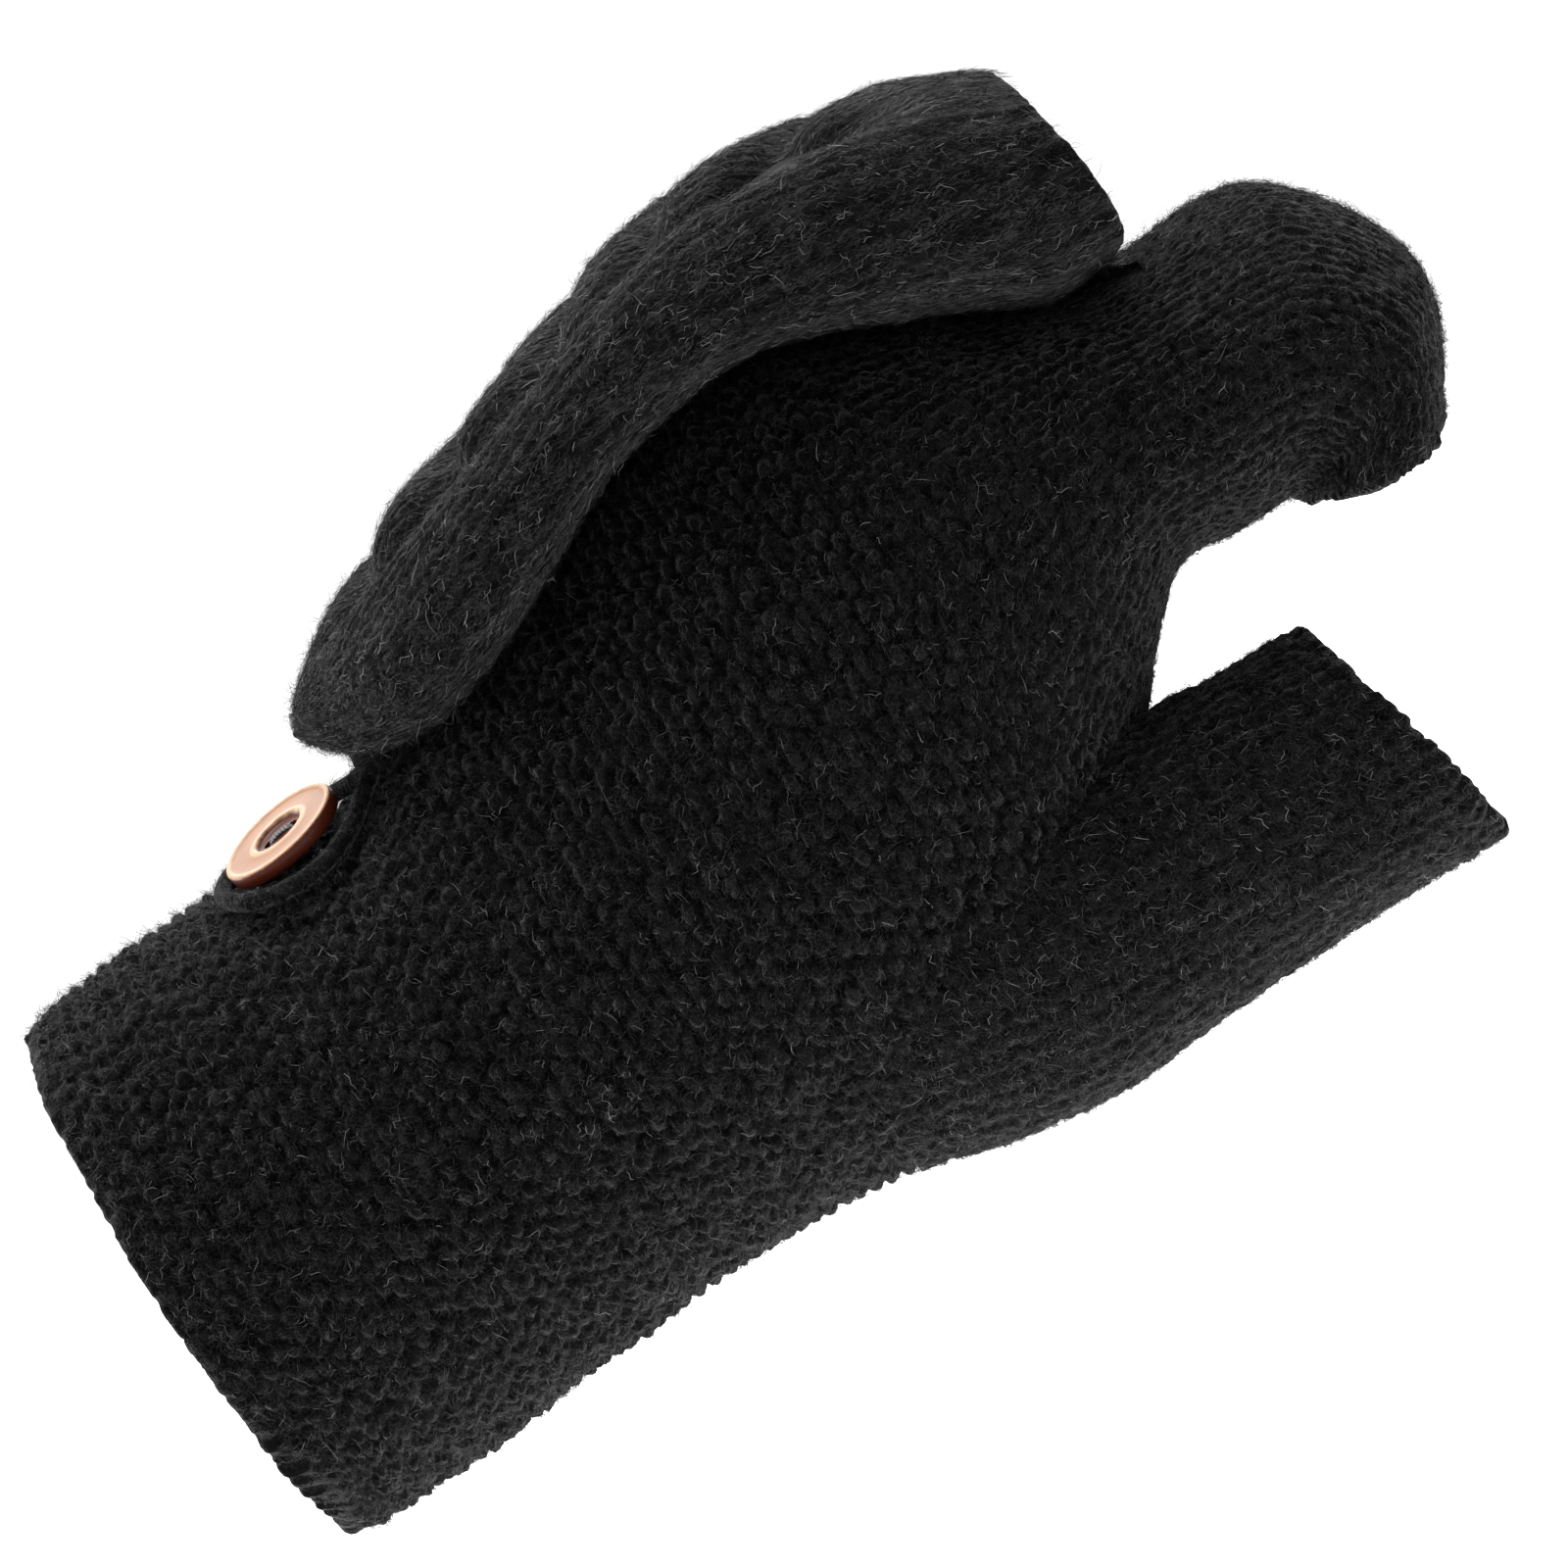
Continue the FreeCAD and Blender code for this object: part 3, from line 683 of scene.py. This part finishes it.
thumb_stations = [
    station((x + slant, y, z - 15 * height), (x - slant, y, z + 15 * height), 16.3 * width)
    for x, y, z, width, height, slant in (
        (68.4, -12.0, -12.0, 0.92, 1.10, 0),
        (88.4, -18.5, -14.5, 1.04, 1.10, 0),
        (109.4, -21.5, -15.0, 1.00, 0.98, 1),
        (131.4, -22.5, -15.9, 0.94, 0.93, 3.0),
    )
]


def tube_test(stations, inset):
    """Tells which points lie outside a tube that runs along X, made narrower by an inset, in mm."""
    table = np.array(stations, float)
    knots = (table[:, 0] + table[:, 3]) / 2

    def outside(points):
        at = smooth(knots, table, np.clip(points[:, 0], knots[0], knots[-1]))
        middle_y = at[:, 1]
        middle_z = (at[:, 2] + at[:, 5]) / 2
        half_height = (at[:, 5] - at[:, 2]) / 2 - inset
        half_width = at[:, 6] - inset
        far = ((points[:, 1] - middle_y) / half_width) ** 2 + ((points[:, 2] - middle_z) / half_height) ** 2
        return (far >= 1) | (points[:, 0] < knots[0]) | (points[:, 0] > knots[-1] + 3)

    return outside


outside_thumb = tube_test(thumb_stations, WALL + 0.4)
outside_body = tube_test(body_stations, 0.8)

glove = Knit(body_stations + sleeve_stations, GLOVE_SPACING, 600)
glove_run = glove.row_distance()[:, None]
toward_sleeve = ramp(glove_run, 92, 116)
toward_end = ramp(glove_run, 126, 146)
toward_wrist = 1 - ramp(glove_run, 45, 95)
courses = 0.5 - 0.5 * np.cos(2 * math.pi * glove.along / (2 * ROW))
lumps = purl(glove, 3) * (1 - 0.3 * toward_wrist * (1 - courses))
lumps = lumps * (1 - toward_sleeve) + fine(glove, 96, 11) * toward_sleeve
lumps = np.clip(lumps + 0.34 * (value_noise(glove.base, 1.15, 17) - 0.5), 0, 1.15)
lumps = lumps * (0.45 + 0.55 * ramp(np.minimum(glove_run, glove.knots[-1] - glove_run), 0, 2.5))
glove.depth = lumps
unevenness = value_noise(glove.base, 9.0, 5) - 0.5
tufts = value_noise(glove.base, 3.4, 6) - 0.5
amount = 1.02 * (1 - toward_sleeve) + 0.60 * toward_sleeve
glove_x = glove.base[..., 0]
glove_z = glove.base[..., 2]
# The back of the hand rises to meet the hood, and the palm side is hollow below the knuckles.
near_top = ramp(glove_z / glove_z.max(axis=1, keepdims=True), 0.72, 0.96)
crown = (1.5 * bell(glove_x, 58, 11) + 1.6 * ramp(glove_x, 70, 84) * (1 - ramp(glove_x, 122, 131))) * near_top
under_knuckles = ramp(glove_x, 82, 98) * ramp(-glove_z, 8, 20)
glove.raise_by(
    lumps * amount - 0.9 + unevenness * 0.8 + tufts * 0.3 + 1.3 * toward_end + crown - 0.9 * under_knuckles)
# The cuff's edge draws in a little on its palm side.
glove.points[..., 0] += 2.4 * (1 - ramp(glove_x, 0, 14)) * bell(glove_z, -20, 10)

hand_end = glove.knots[len(body_stations) - 1]
sleeve_end = glove.knots[-1]
cuff_edge = glove.part(0, EDGE)
cuff = glove.part(EDGE, CUFF_END)
hand_wrist = glove.part(CUFF_END, MID_HAND)
hand_knuckles = glove.part(MID_HAND, hand_end)
sleeve = glove.part(hand_end, sleeve_end - EDGE)
finger_edge = glove.part(sleeve_end - EDGE, sleeve_end)

piece(shell("cuff_edge_knit", cuff_edge, PURL, rim_start=True), "glove", "rib_knit", "cuff_edge")
piece(shell("cuff_knit", cuff, PURL), "glove", "purl_knit", "cuff")
piece(shell("hand_wrist_knit", hand_wrist, PURL, keep=outside_thumb), "glove", "purl_knit", "hand_shell")
piece(shell("hand_knuckle_knit", hand_knuckles, PURL, keep=outside_thumb), "glove", "purl_knit")
piece(shell("finger_sleeve_knit", sleeve, FINE), "glove", "fine_knit", "finger_sleeve")
piece(shell("finger_edge_knit", finger_edge, FINE, rim_end=True), "glove", "rib_knit", "finger_edge")

thumb = Knit(thumb_stations, GLOVE_SPACING, 280)
thumb.depth = np.clip(fine(thumb, 46, 21) + 0.5 * (value_noise(thumb.base, 1.2, 23) - 0.5), 0, 1.1)
thumb.raise_by(thumb.depth * 0.55 - 0.15 + (value_noise(thumb.base, 7.0, 8) - 0.5) * 0.8)
thumb_end = thumb.knots[-1]
thumb_main = thumb.part(0, thumb_end - EDGE)
thumb_edge = thumb.part(thumb_end - EDGE, thumb_end)
piece(shell("thumb_knit", thumb_main, FINE, keep=outside_body), "glove", "fine_knit", "thumb_tube")
piece(shell("thumb_edge_knit", thumb_edge, FINE, rim_end=True), "glove", "rib_knit", "thumb_edge")

# ---------------------------------------------------------------- hood

HINGE_X = 136.0     # where the hood is sewn on, mm
HOOD_PLACES = (     # distance back from the hinge, half width, shift to -Y, bottom and top, mm
    (0, 39.0, 0.0, 37.0, 59.5),
    (9, 39.2, 0.0, 38.2, 64.0),
    (18, 39.2, 0.0, 42.6, 66.0),
    (27, 39.1, 0.0, 47.0, 67.0),
    (36, 38.8, 0.0, 50.0, 66.7),
    (45, 37.6, 0.0, 50.8, 65.0),
    (54, 36.8, 0.0, 49.0, 62.4),
    (66, 35.0, 1.0, 43.5, 58.5),
    (77, 31.0, 2.5, 38.5, 54.8),
    (86, 23.5, 4.0, 35.9, 51.0),
    (92, 14.0, 5.5, 36.6, 47.6),
    (95, 8.0, 6.0, 39.0, 45.3),
    (96.2, 4.0, 6.2, 40.6, 43.6),
)
CREASES = ((51, 60), (63, 79), (77, 96), (91, 111), (108, 126))     # x at the groove and the far side
hood_stations = [
    station((HINGE_X - back, -shift, bottom), (HINGE_X - back, -shift, top), half_width, 2.6)
    for back, half_width, shift, bottom, top in HOOD_PLACES
]


def hood_relief(knit):
    """The hood's rolls, its groove behind the near roll, and the slanted creases across its top."""
    x = knit.base[..., 0]
    y = knit.base[..., 1] / knit.half_width[:, None]
    z = knit.base[..., 2]
    middle = (z.max(axis=1) + z.min(axis=1))[:, None] / 2
    top = ramp(z - middle, 0.5, 4)
    strength = ramp(x, 44, 58) * (1 - ramp(x, 112, 128))
    groove = -4.3 * strength * bell(y, -0.58, 0.13)
    roll = 1.0 * strength * bell(y, -0.84, 0.12)
    back_roll = 1.0 * strength * bell(y, -0.20, 0.30)
    run = np.clip((y + 0.60) / 1.35, 0, 1)
    creases = 0
    dimples = 0
    for start, end in CREASES:
        line = start + (end - start) * run
        creases = creases - 2.5 * bell(x, line, 2.9) * ramp(y, -0.70, -0.5)
        dimples = dimples - 2.6 * bell(x, start + 1.5, 4.2) * bell(y, -0.55, 0.12)
    creases = creases * ramp(x, 44, 52) * (1 - ramp(x, 122, 130)) * (1 - 0.4 * ramp(y, -0.1, 0.5))
    return top * (groove + roll + back_roll + creases + dimples)


hood = Knit(hood_stations, 0.38, 520, first=2.9)
hood_fine = stitches(
    hood, 1.45, columns=92, length=0.75, width=0.50, tilt=0.45, seed=31, jitter=0.3, stagger=0.0)
ribs = np.abs(np.cos(math.pi * hood.share * 46))
near_mouth = ramp(hood.base[..., 0], 110, 122)
hood.depth = np.clip(hood_fine * (1 - 0.5 * near_mouth) + 0.5 * near_mouth * ribs, 0, 1)
swell = value_noise(hood.base, 11.0, 9) - 0.5
hood.raise_by(hood_relief(hood) + swell * 1.1)
hood.raise_by(hood.depth * 0.34 - 0.75)
hood_x = hood.base[..., 0]
hood_middle = (hood.base[..., 2].max(axis=1) + hood.base[..., 2].min(axis=1))[:, None] / 2
# Its underside rests on the back of the hand, and its far side droops.
over_hand = ramp(hood_x, 44, 56) * (1 - ramp(hood_x, 126, 133))
hood.points[..., 2] -= 1.3 * over_hand * ramp(hood_middle - hood.base[..., 2], 0, 4)
hood.points[..., 2] -= 5.0 * over_hand * ramp(hood.base[..., 1] / hood.half_width[:, None], 0.35, 0.95)
SPLIT_X = 100.0     # between the mouth half and the tip half of the hood, mm
hood_split = float(np.interp(-SPLIT_X, -hood_x.mean(axis=1), hood.row_distance()))
hood_mouth = hood.part(0, hood_split)
hood_tip = hood.part(hood_split, hood.row_distance()[-1])


def hood_mouth_piece(thing, *nodes):
    """The mouth half: bakes its placing into its mesh and hides the parts that it stands for."""
    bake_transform(thing)
    if nodes:
        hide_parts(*nodes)


def hood_tip_piece(thing, *nodes):
    """The tip half: bakes its placing into its mesh and hides the parts that it stands for."""
    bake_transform(thing)
    if nodes:
        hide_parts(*nodes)


hood_mouth_piece(
    shell("hood_mouth_knit", hood_mouth, HOOD, rim_start=True),
    "hood_back_panel", "hood_back_rib", "hood_palm_panel", "hood_palm_rib")
hood_tip_piece(capped("hood_tip_knit", hood_tip, HOOD, (39.3, -6.3, 42.1)), "hood_tip_pouch")

# ---------------------------------------------------------------- fuzz


def surface(knit):
    """The area of a knitted surface, in square mm."""
    return float((knit.perimeter * np.gradient(knit.row_distance())).sum())


def brushed(name, knit, density, seed, place, **options):
    """Fibres all over a surface, in pieces of a workable size; place puts each piece on its body."""
    count = int(surface(knit) * density)
    parts = max(1, math.ceil(count / FIBRES_PER_PIECE))
    for number in range(parts):
        label = name if parts == 1 else f"{name}_{number + 1}"
        place(fuzz(label, knit, count // parts, seed + 50 * number, **options))


RIM = {"lift": 0.5}     # fibres stand up more on the finished edges
PAST_THUMB = {"keep": outside_thumb}
for seed, (name, knit, density, slot, options) in enumerate((
    ("cuff_edge_fuzz", cuff_edge, 9.5, "rib_knit", RIM),
    ("cuff_fuzz", cuff, 8.8, "purl_knit", {}),
    ("hand_wrist_fuzz", hand_wrist, 8.0, "purl_knit", PAST_THUMB),
    ("hand_knuckle_fuzz", hand_knuckles, 8.0, "purl_knit", PAST_THUMB),
    ("finger_sleeve_fuzz", sleeve, 8.4, "fine_knit", {}),
    ("finger_edge_fuzz", finger_edge, 8.0, "rib_knit", RIM),
    ("thumb_fuzz", thumb_main, 8.4, "fine_knit", {"keep": outside_body}),
    ("thumb_edge_fuzz", thumb_edge, 8.0, "rib_knit", RIM),
), start=101):
    brushed(name, knit, density, seed, lambda thing: piece(thing, "glove", slot), **options)
brushed("hood_mouth_fuzz", hood_mouth, 6.5, 111, hood_mouth_piece,
        length=(0.6, 2.4), spread=0.5, lift=0.20, curl=0.40, tone=(0.15, 1.1))
brushed("hood_tip_fuzz", hood_tip, 6.5, 112, hood_tip_piece,
        length=(0.6, 2.4), spread=0.60, lift=0.22, curl=0.45, tone=(0.15, 1.1))

# ---------------------------------------------------------------- button, threads and seams


def tube_rings(path, radii, count):
    """Rings of points along a path, as a knit, so that it can be a shell, a tube or carry fibres."""
    path = np.asarray(path, float)
    along = np.gradient(path, axis=0)
    along /= np.linalg.norm(along, axis=1, keepdims=True)
    side = np.cross(along[0], (0.31, 0.17, 0.93))
    sides = []
    for direction in along:
        side = side - direction * np.dot(side, direction)
        side /= np.linalg.norm(side)
        sides.append(side)
    sides = np.array(sides)
    others = np.cross(along, sides)
    turn = np.arange(count) / count * 2 * math.pi
    radii = np.broadcast_to(radii, len(path))
    rings = object.__new__(Knit)
    rings.base = path[:, None] + radii[:, None, None] * (
        sides[:, None] * np.cos(turn)[None, :, None] + others[:, None] * np.sin(turn)[None, :, None])
    rings.points = rings.base
    rings.perimeter = 2 * math.pi * radii
    rings.depth = np.full((len(path), count), 0.6)
    return rings


def strands(name, paths, radius, material, sides=7, loop=False):
    """Threads along paths in mm: tubes with closed ends, or closed loops."""
    verts = []
    faces = []
    start = 0
    for path in paths:
        path = np.asarray(path, float)
        if loop:
            rings = tube_rings(np.concatenate([path[-1:], path, path[:1]]), radius, sides).points[1:-1]
        else:
            rings = tube_rings(path, radius, sides).points
            first, last = (
                np.repeat(ring.mean(axis=1, keepdims=True), sides, axis=1) for ring in (rings[:1], rings[-1:]))
            rings = np.concatenate([first, rings, last])
        faces.append(ring_faces(len(rings), sides, closed=loop).reshape(-1, 4) + start)
        verts.append(rings.reshape(-1, 3))
        start += len(rings) * sides
    thing = new_object(name, np.concatenate(verts), np.concatenate(faces), material)
    if not loop:
        merge_points(thing)
    return thing


def merge_points(thing):
    """Joins the points that lie on each other, and drops the faces that this empties."""
    work = bmesh.new()
    work.from_mesh(thing.data)
    bmesh.ops.remove_doubles(work, verts=work.verts, dist=1e-7)
    work.to_mesh(thing.data)
    work.free()


BUTTON_NORMAL = Vector((-0.139, -0.223, 0.965)).normalized()
BUTTON_BASE = Vector((33.5, -8.0, 31.77))
BUTTON_TURN = Vector((0, 0, 1)).rotation_difference(BUTTON_NORMAL)
UNDERSIDE = BUTTON_BASE + BUTTON_NORMAL * 2.0
HOLE_OFFSET = 1.4       # from the button's middle to each thread hole, mm
HOLE_RADIUS = 0.75
BUTTON_PROFILE = (      # radius and height above the underside, from the rim to the recess, mm
    (6.20, 0.00), (6.62, 0.06), (6.80, 0.28), (6.80, 1.42), (6.72, 1.60), (6.52, 1.70), (6.32, 1.68),
    (6.08, 1.60), (5.60, 1.57), (3.75, 1.57), (3.35, 1.63), (3.05, 1.66), (2.88, 1.56), (2.78, 1.30),
    (2.62, 1.14), (2.30, 1.10),
)


def on_button(points):
    """Points given from the middle of the button's underside, moved to its place."""
    return [UNDERSIDE + BUTTON_TURN @ Vector(point) for point in points]


def button_material():
    """Wood-look resin: a tan face with a painted highlight on the crests of its two rims, a dark red-brown
    recess and side, and a fine grain.
    """
    nodes = Nodes("button_resin")
    back = BUTTON_TURN.inverted()
    place = nodes.add("Mapping", {      # in mm from the middle of the underside
        "Vector": nodes.place, "Location": -(back @ UNDERSIDE), "Rotation": back.to_euler("XYZ"),
        "Scale": (1 / MM, 1 / MM, 1 / MM)})
    flat = nodes.add("VectorMath", {0: place, 1: (1, 1, 0)}, operation="MULTIPLY")
    radius = nodes.add("VectorMath", {0: flat}, "Value", operation="LENGTH")
    stretched = nodes.add("VectorMath", {0: place, 1: (0.5, 2.2, 1.0)}, operation="MULTIPLY")
    grain = nodes.noise(stretched, 1.1, Detail=6.0, Roughness=0.62, Distortion=0.5)
    wobble = nodes.math("MULTIPLY_ADD", grain, 0.25, radius)
    tan = (0.165, 0.070, 0.027, 1)
    # Pale is a painted highlight, for the light caught on the rounded rim crests.
    pale = (0.30, 0.180, 0.105, 1)
    recess = (0.050, 0.011, 0.005, 1)
    side = (0.050, 0.0075, 0.0025, 1)
    # The pale bands in this ramp lie on the crest of the outer rim and of the recess's lip: painted highlight.
    face = nodes.colours(
        nodes.math("DIVIDE", wobble, 7.2), (0.0, recess), (0.400, recess), (0.425, pale), (0.500, pale),
        (0.545, tan), (0.850, tan), (0.890, pale), (0.940, pale), (0.958, side))
    upper = nodes.spread(nodes.add("SeparateXYZ", {0: place}, "Z"), 0.0, 1.0, start=0.9, end=1.05)
    shades = nodes.colours(grain, (0.30, (0.62, 0.58, 0.55, 1)), (0.62, (1, 1, 1, 1)))
    return nodes.finish({
        "Base Color": nodes.blend("MULTIPLY", 1.0, nodes.blend("MIX", upper, side, face), shades),
        "Normal": nodes.bumps(grain, 0.08, 0.0001),
        "Roughness": nodes.spread(grain, 0.38, 0.55),
        "Specular IOR Level": 0.10,
        "Coat Weight": 0.04,
        "Coat Roughness": 0.15,
    })


def make_button():
    """The disc turned from its profile, with its two thread holes cut through."""
    sides = 96
    turn = [2 * math.pi * k / sides for k in range(sides)]
    verts = [(r * math.cos(a), r * math.sin(a), z) for r, z in BUTTON_PROFILE for a in turn]
    top_row = (len(BUTTON_PROFILE) - 1) * sides
    faces = [tuple(face) for face in ring_faces(len(BUTTON_PROFILE), sides).reshape(-1, 4).tolist()]
    faces.append(tuple(range(sides))[::-1])
    faces.append(tuple(range(top_row, top_row + sides)))
    mesh = bpy.data.meshes.new("button_disc")
    mesh.from_pydata(verts, [], faces)
    disc = bpy.data.objects.new("button_disc", mesh)
    scene.collection.objects.link(disc)
    cutters = []
    corners = 24
    ring = [2 * math.pi * k / corners for k in range(corners)]
    walls = [(k, (k + 1) % corners, corners + (k + 1) % corners, corners + k) for k in range(corners)]
    ends = [tuple(range(corners))[::-1], tuple(range(corners, 2 * corners))]
    for offset in (-HOLE_OFFSET, HOLE_OFFSET):
        cut_mesh = bpy.data.meshes.new("cutter")
        points = [
            (offset + HOLE_RADIUS * math.cos(a), HOLE_RADIUS * math.sin(a), z) for z in (-1, 3) for a in ring]
        cut_mesh.from_pydata(points, [], walls + ends)
        cutter = bpy.data.objects.new("cutter", cut_mesh)
        scene.collection.objects.link(cutter)
        cutters.append(cutter)
        cut = disc.modifiers.new("hole", "BOOLEAN")
        cut.operation = "DIFFERENCE"
        cut.solver = "EXACT"
        cut.object = cutter
    bpy.context.view_layer.update()
    solid = bpy.data.meshes.new_from_object(disc.evaluated_get(bpy.context.evaluated_depsgraph_get()))
    for extra in (disc, *cutters):
        bpy.data.objects.remove(extra)
    matrix = Matrix.Translation(UNDERSIDE * MM) @ BUTTON_TURN.to_matrix().to_4x4() @ Matrix.Scale(MM, 4)
    solid.transform(matrix)
    solid.shade_smooth()
    solid.set_sharp_from_angle(angle=math.radians(40))
    solid.materials.clear()
    solid.materials.append(button_material())
    button = bpy.data.objects.new("button_body", solid)
    scene.collection.objects.link(button)
    piece(button, "button", "button_resin", "button")


make_button()
sweep = np.linspace(0, math.pi, 13)
piece(strands("button_stitches", [
    on_button([(-HOLE_OFFSET * math.cos(a), side, 0.25 + 1.05 * math.sin(a) ** 0.4) for a in sweep])
    for side in (-0.34, 0.0, 0.34)
], 0.19, THREAD), "button", "sewing_thread", "button_thread")

# A thread wound round four straight ones makes the shank.
wind = np.linspace(0, 1, 120)
shank_paths = [on_button([
    (0.85 * math.cos(40 * w), 0.85 * math.sin(40 * w), -2.3 + 1.9 * w) for w in wind])]
shank_paths += [
    on_button([(0.45 * math.cos(a), 0.45 * math.sin(a), z) for z in (-2.6, -1.5, -0.4)])
    for a in (0, 1.6, 3.1, 4.7)
]
piece(strands("shank_winding", shank_paths, 0.28, THREAD), "glove", "sewing_thread", "button_shank")
around = np.linspace(0, 2 * math.pi, 72, endpoint=False)
knot_centre = BUTTON_BASE - Vector((0, 0, 3.0))
piece(strands("shank_knot_thread", [[
    knot_centre + Vector((
        (1.0 + 0.45 * math.cos(3 * a)) * math.cos(2 * a), (1.0 + 0.45 * math.cos(3 * a)) * math.sin(2 * a),
        0.45 * math.sin(3 * a)))
    for a in around]], 0.30, THREAD, loop=True), "glove", "sewing_thread", "shank_knot")

seam_x = np.linspace(4, 102, 700)
body_table = np.array(body_stations, float)
seam_at = smooth(body_table[:, 0], body_table, seam_x)
seam_turn = 2 * math.pi * seam_x / 2.2
seam_path = np.stack([
    seam_x + 0.4 * np.sin(seam_turn), seam_at[:, 6] - WALL - 0.55 + 0.35 * np.cos(seam_turn),
    (seam_at[:, 2] + seam_at[:, 5]) / 2 + 0.75 * np.sin(seam_turn)], axis=1)
piece(strands("side_seam_thread", [seam_path], 0.32, THREAD), "glove", "sewing_thread", "side_seam")

ring_turn = np.linspace(0, 2 * math.pi, 24, endpoint=False)
stitch_radius = 0.9
piece(strands("knuckle_seam_stitches", [
    np.stack([
        HINGE_X + stitch_radius * np.cos(ring_turn),
        1.7 * number - 10.2 + stitch_radius * np.sin(ring_turn + 0.5),
        35.0 + stitch_radius * np.sin(ring_turn)], axis=1)
    for number in range(13)
], 0.28, THREAD, loop=True), "glove", "sewing_thread", "knuckle_seam")

gather_count = 9
outward = np.linspace(2.3, 0.15, 8)
gathers = []
for number in range(gather_count):
    angle = 2 * math.pi * number / gather_count + 0.2 * (number % 2)
    gathers.append(np.stack([
        40.6 - 0.75 * np.sin(math.pi / 2 * (1 - outward / 2.6)),
        -6.1 + outward * math.cos(angle),
        42.2 + 0.8 * outward * math.sin(angle)], axis=1))
piece(strands("tip_gather_stitches", gathers, 0.36, THREAD), "hood_tip", "sewing_thread", "tip_gather")


def make_root():
    """The strip of fabric that joins the hood to the finger sleeve along the knuckles."""
    rows = 34
    columns = 160
    half_width = 13.0
    knuckle_drop = 15       # the curve of the knuckles: how far it falls towards its sides, mm
    knuckle_half = 36
    line = smooth(
        range(5), [(139.0, 35.0), (137.6, 36.0), (HINGE_X, 36.6), (134.2, 37.0), (132.0, 37.8)],
        np.linspace(0, 4, rows))
    across = np.linspace(-1, 1, columns)
    lens = np.sqrt(np.clip(1 - across**2, 0.01, 1))
    top = np.empty((rows, columns, 3))
    top[..., 0] = HINGE_X + (line[:, :1] - HINGE_X) * lens
    top[..., 1] = across * half_width
    top[..., 2] = line[:, 1:] - knuckle_drop * (1 - np.sqrt(1 - (across * half_width / knuckle_half) ** 2))
    top[..., 2] += 0.4 * (value_noise(top, 2.0, 41) - 0.5)
    under = top[:, ::-1].copy()
    under[..., 2] -= 1.6 * lens[::-1]
    around = 2 * columns
    strip = object.__new__(Knit)
    strip.points = np.concatenate([top, under], axis=1)
    strip.perimeter = np.full(rows, 124.0)      # the same all along, so the fibres spread evenly
    flat = strip.points.reshape(-1, 3)
    ends = [
        [start + left, start + left + 1, start + around - 2 - left, start + around - 1 - left]
        for start in (0, (rows - 1) * around) for left in range(columns - 1)
    ]
    faces = np.concatenate([ring_faces(rows, around).reshape(-1, 4), ends])
    root = new_object("hood_root_knit", flat, faces, FINE)
    set_attribute(root, "stitch_height", np.full(len(flat), 0.6))
    for thing in (root, fuzz("hood_root_fuzz", strip, 4500, 131)):
        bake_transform(thing)


make_root()

cord_surface = tube_rings(cord_path, CORD_WIDTH / 2, 16)
piece(fuzz("cord_fuzz", cord_surface, 3200, 121, length=(0.4, 1.5), lift=0.25, spread=0.9), "loop", "cord")

# The hood's tip narrows to a neck round the ends of the cord.
neck_path = [
    (46.4, -8.0, 38.2), (45.9, -7.95, 37.2), (45.3, -7.9, 36.3), (44.7, -7.9, 35.6), (44.2, -7.85, 35.1)]
neck_surface = tube_rings(neck_path, [3.4, 3.1, 2.7, 2.3, 1.9], 40)
neck = shell("hood_tip_neck", neck_surface, HOOD, rim_end=True, inner_step=2, wall=0.7)
piece(neck, "hood_tip", "hood_knit")
neck_fuzz = fuzz("hood_tip_neck_fuzz", neck_surface, 900, 122, length=(0.8, 2.4), lift=0.5)
piece(neck_fuzz, "hood_tip", "hood_knit")
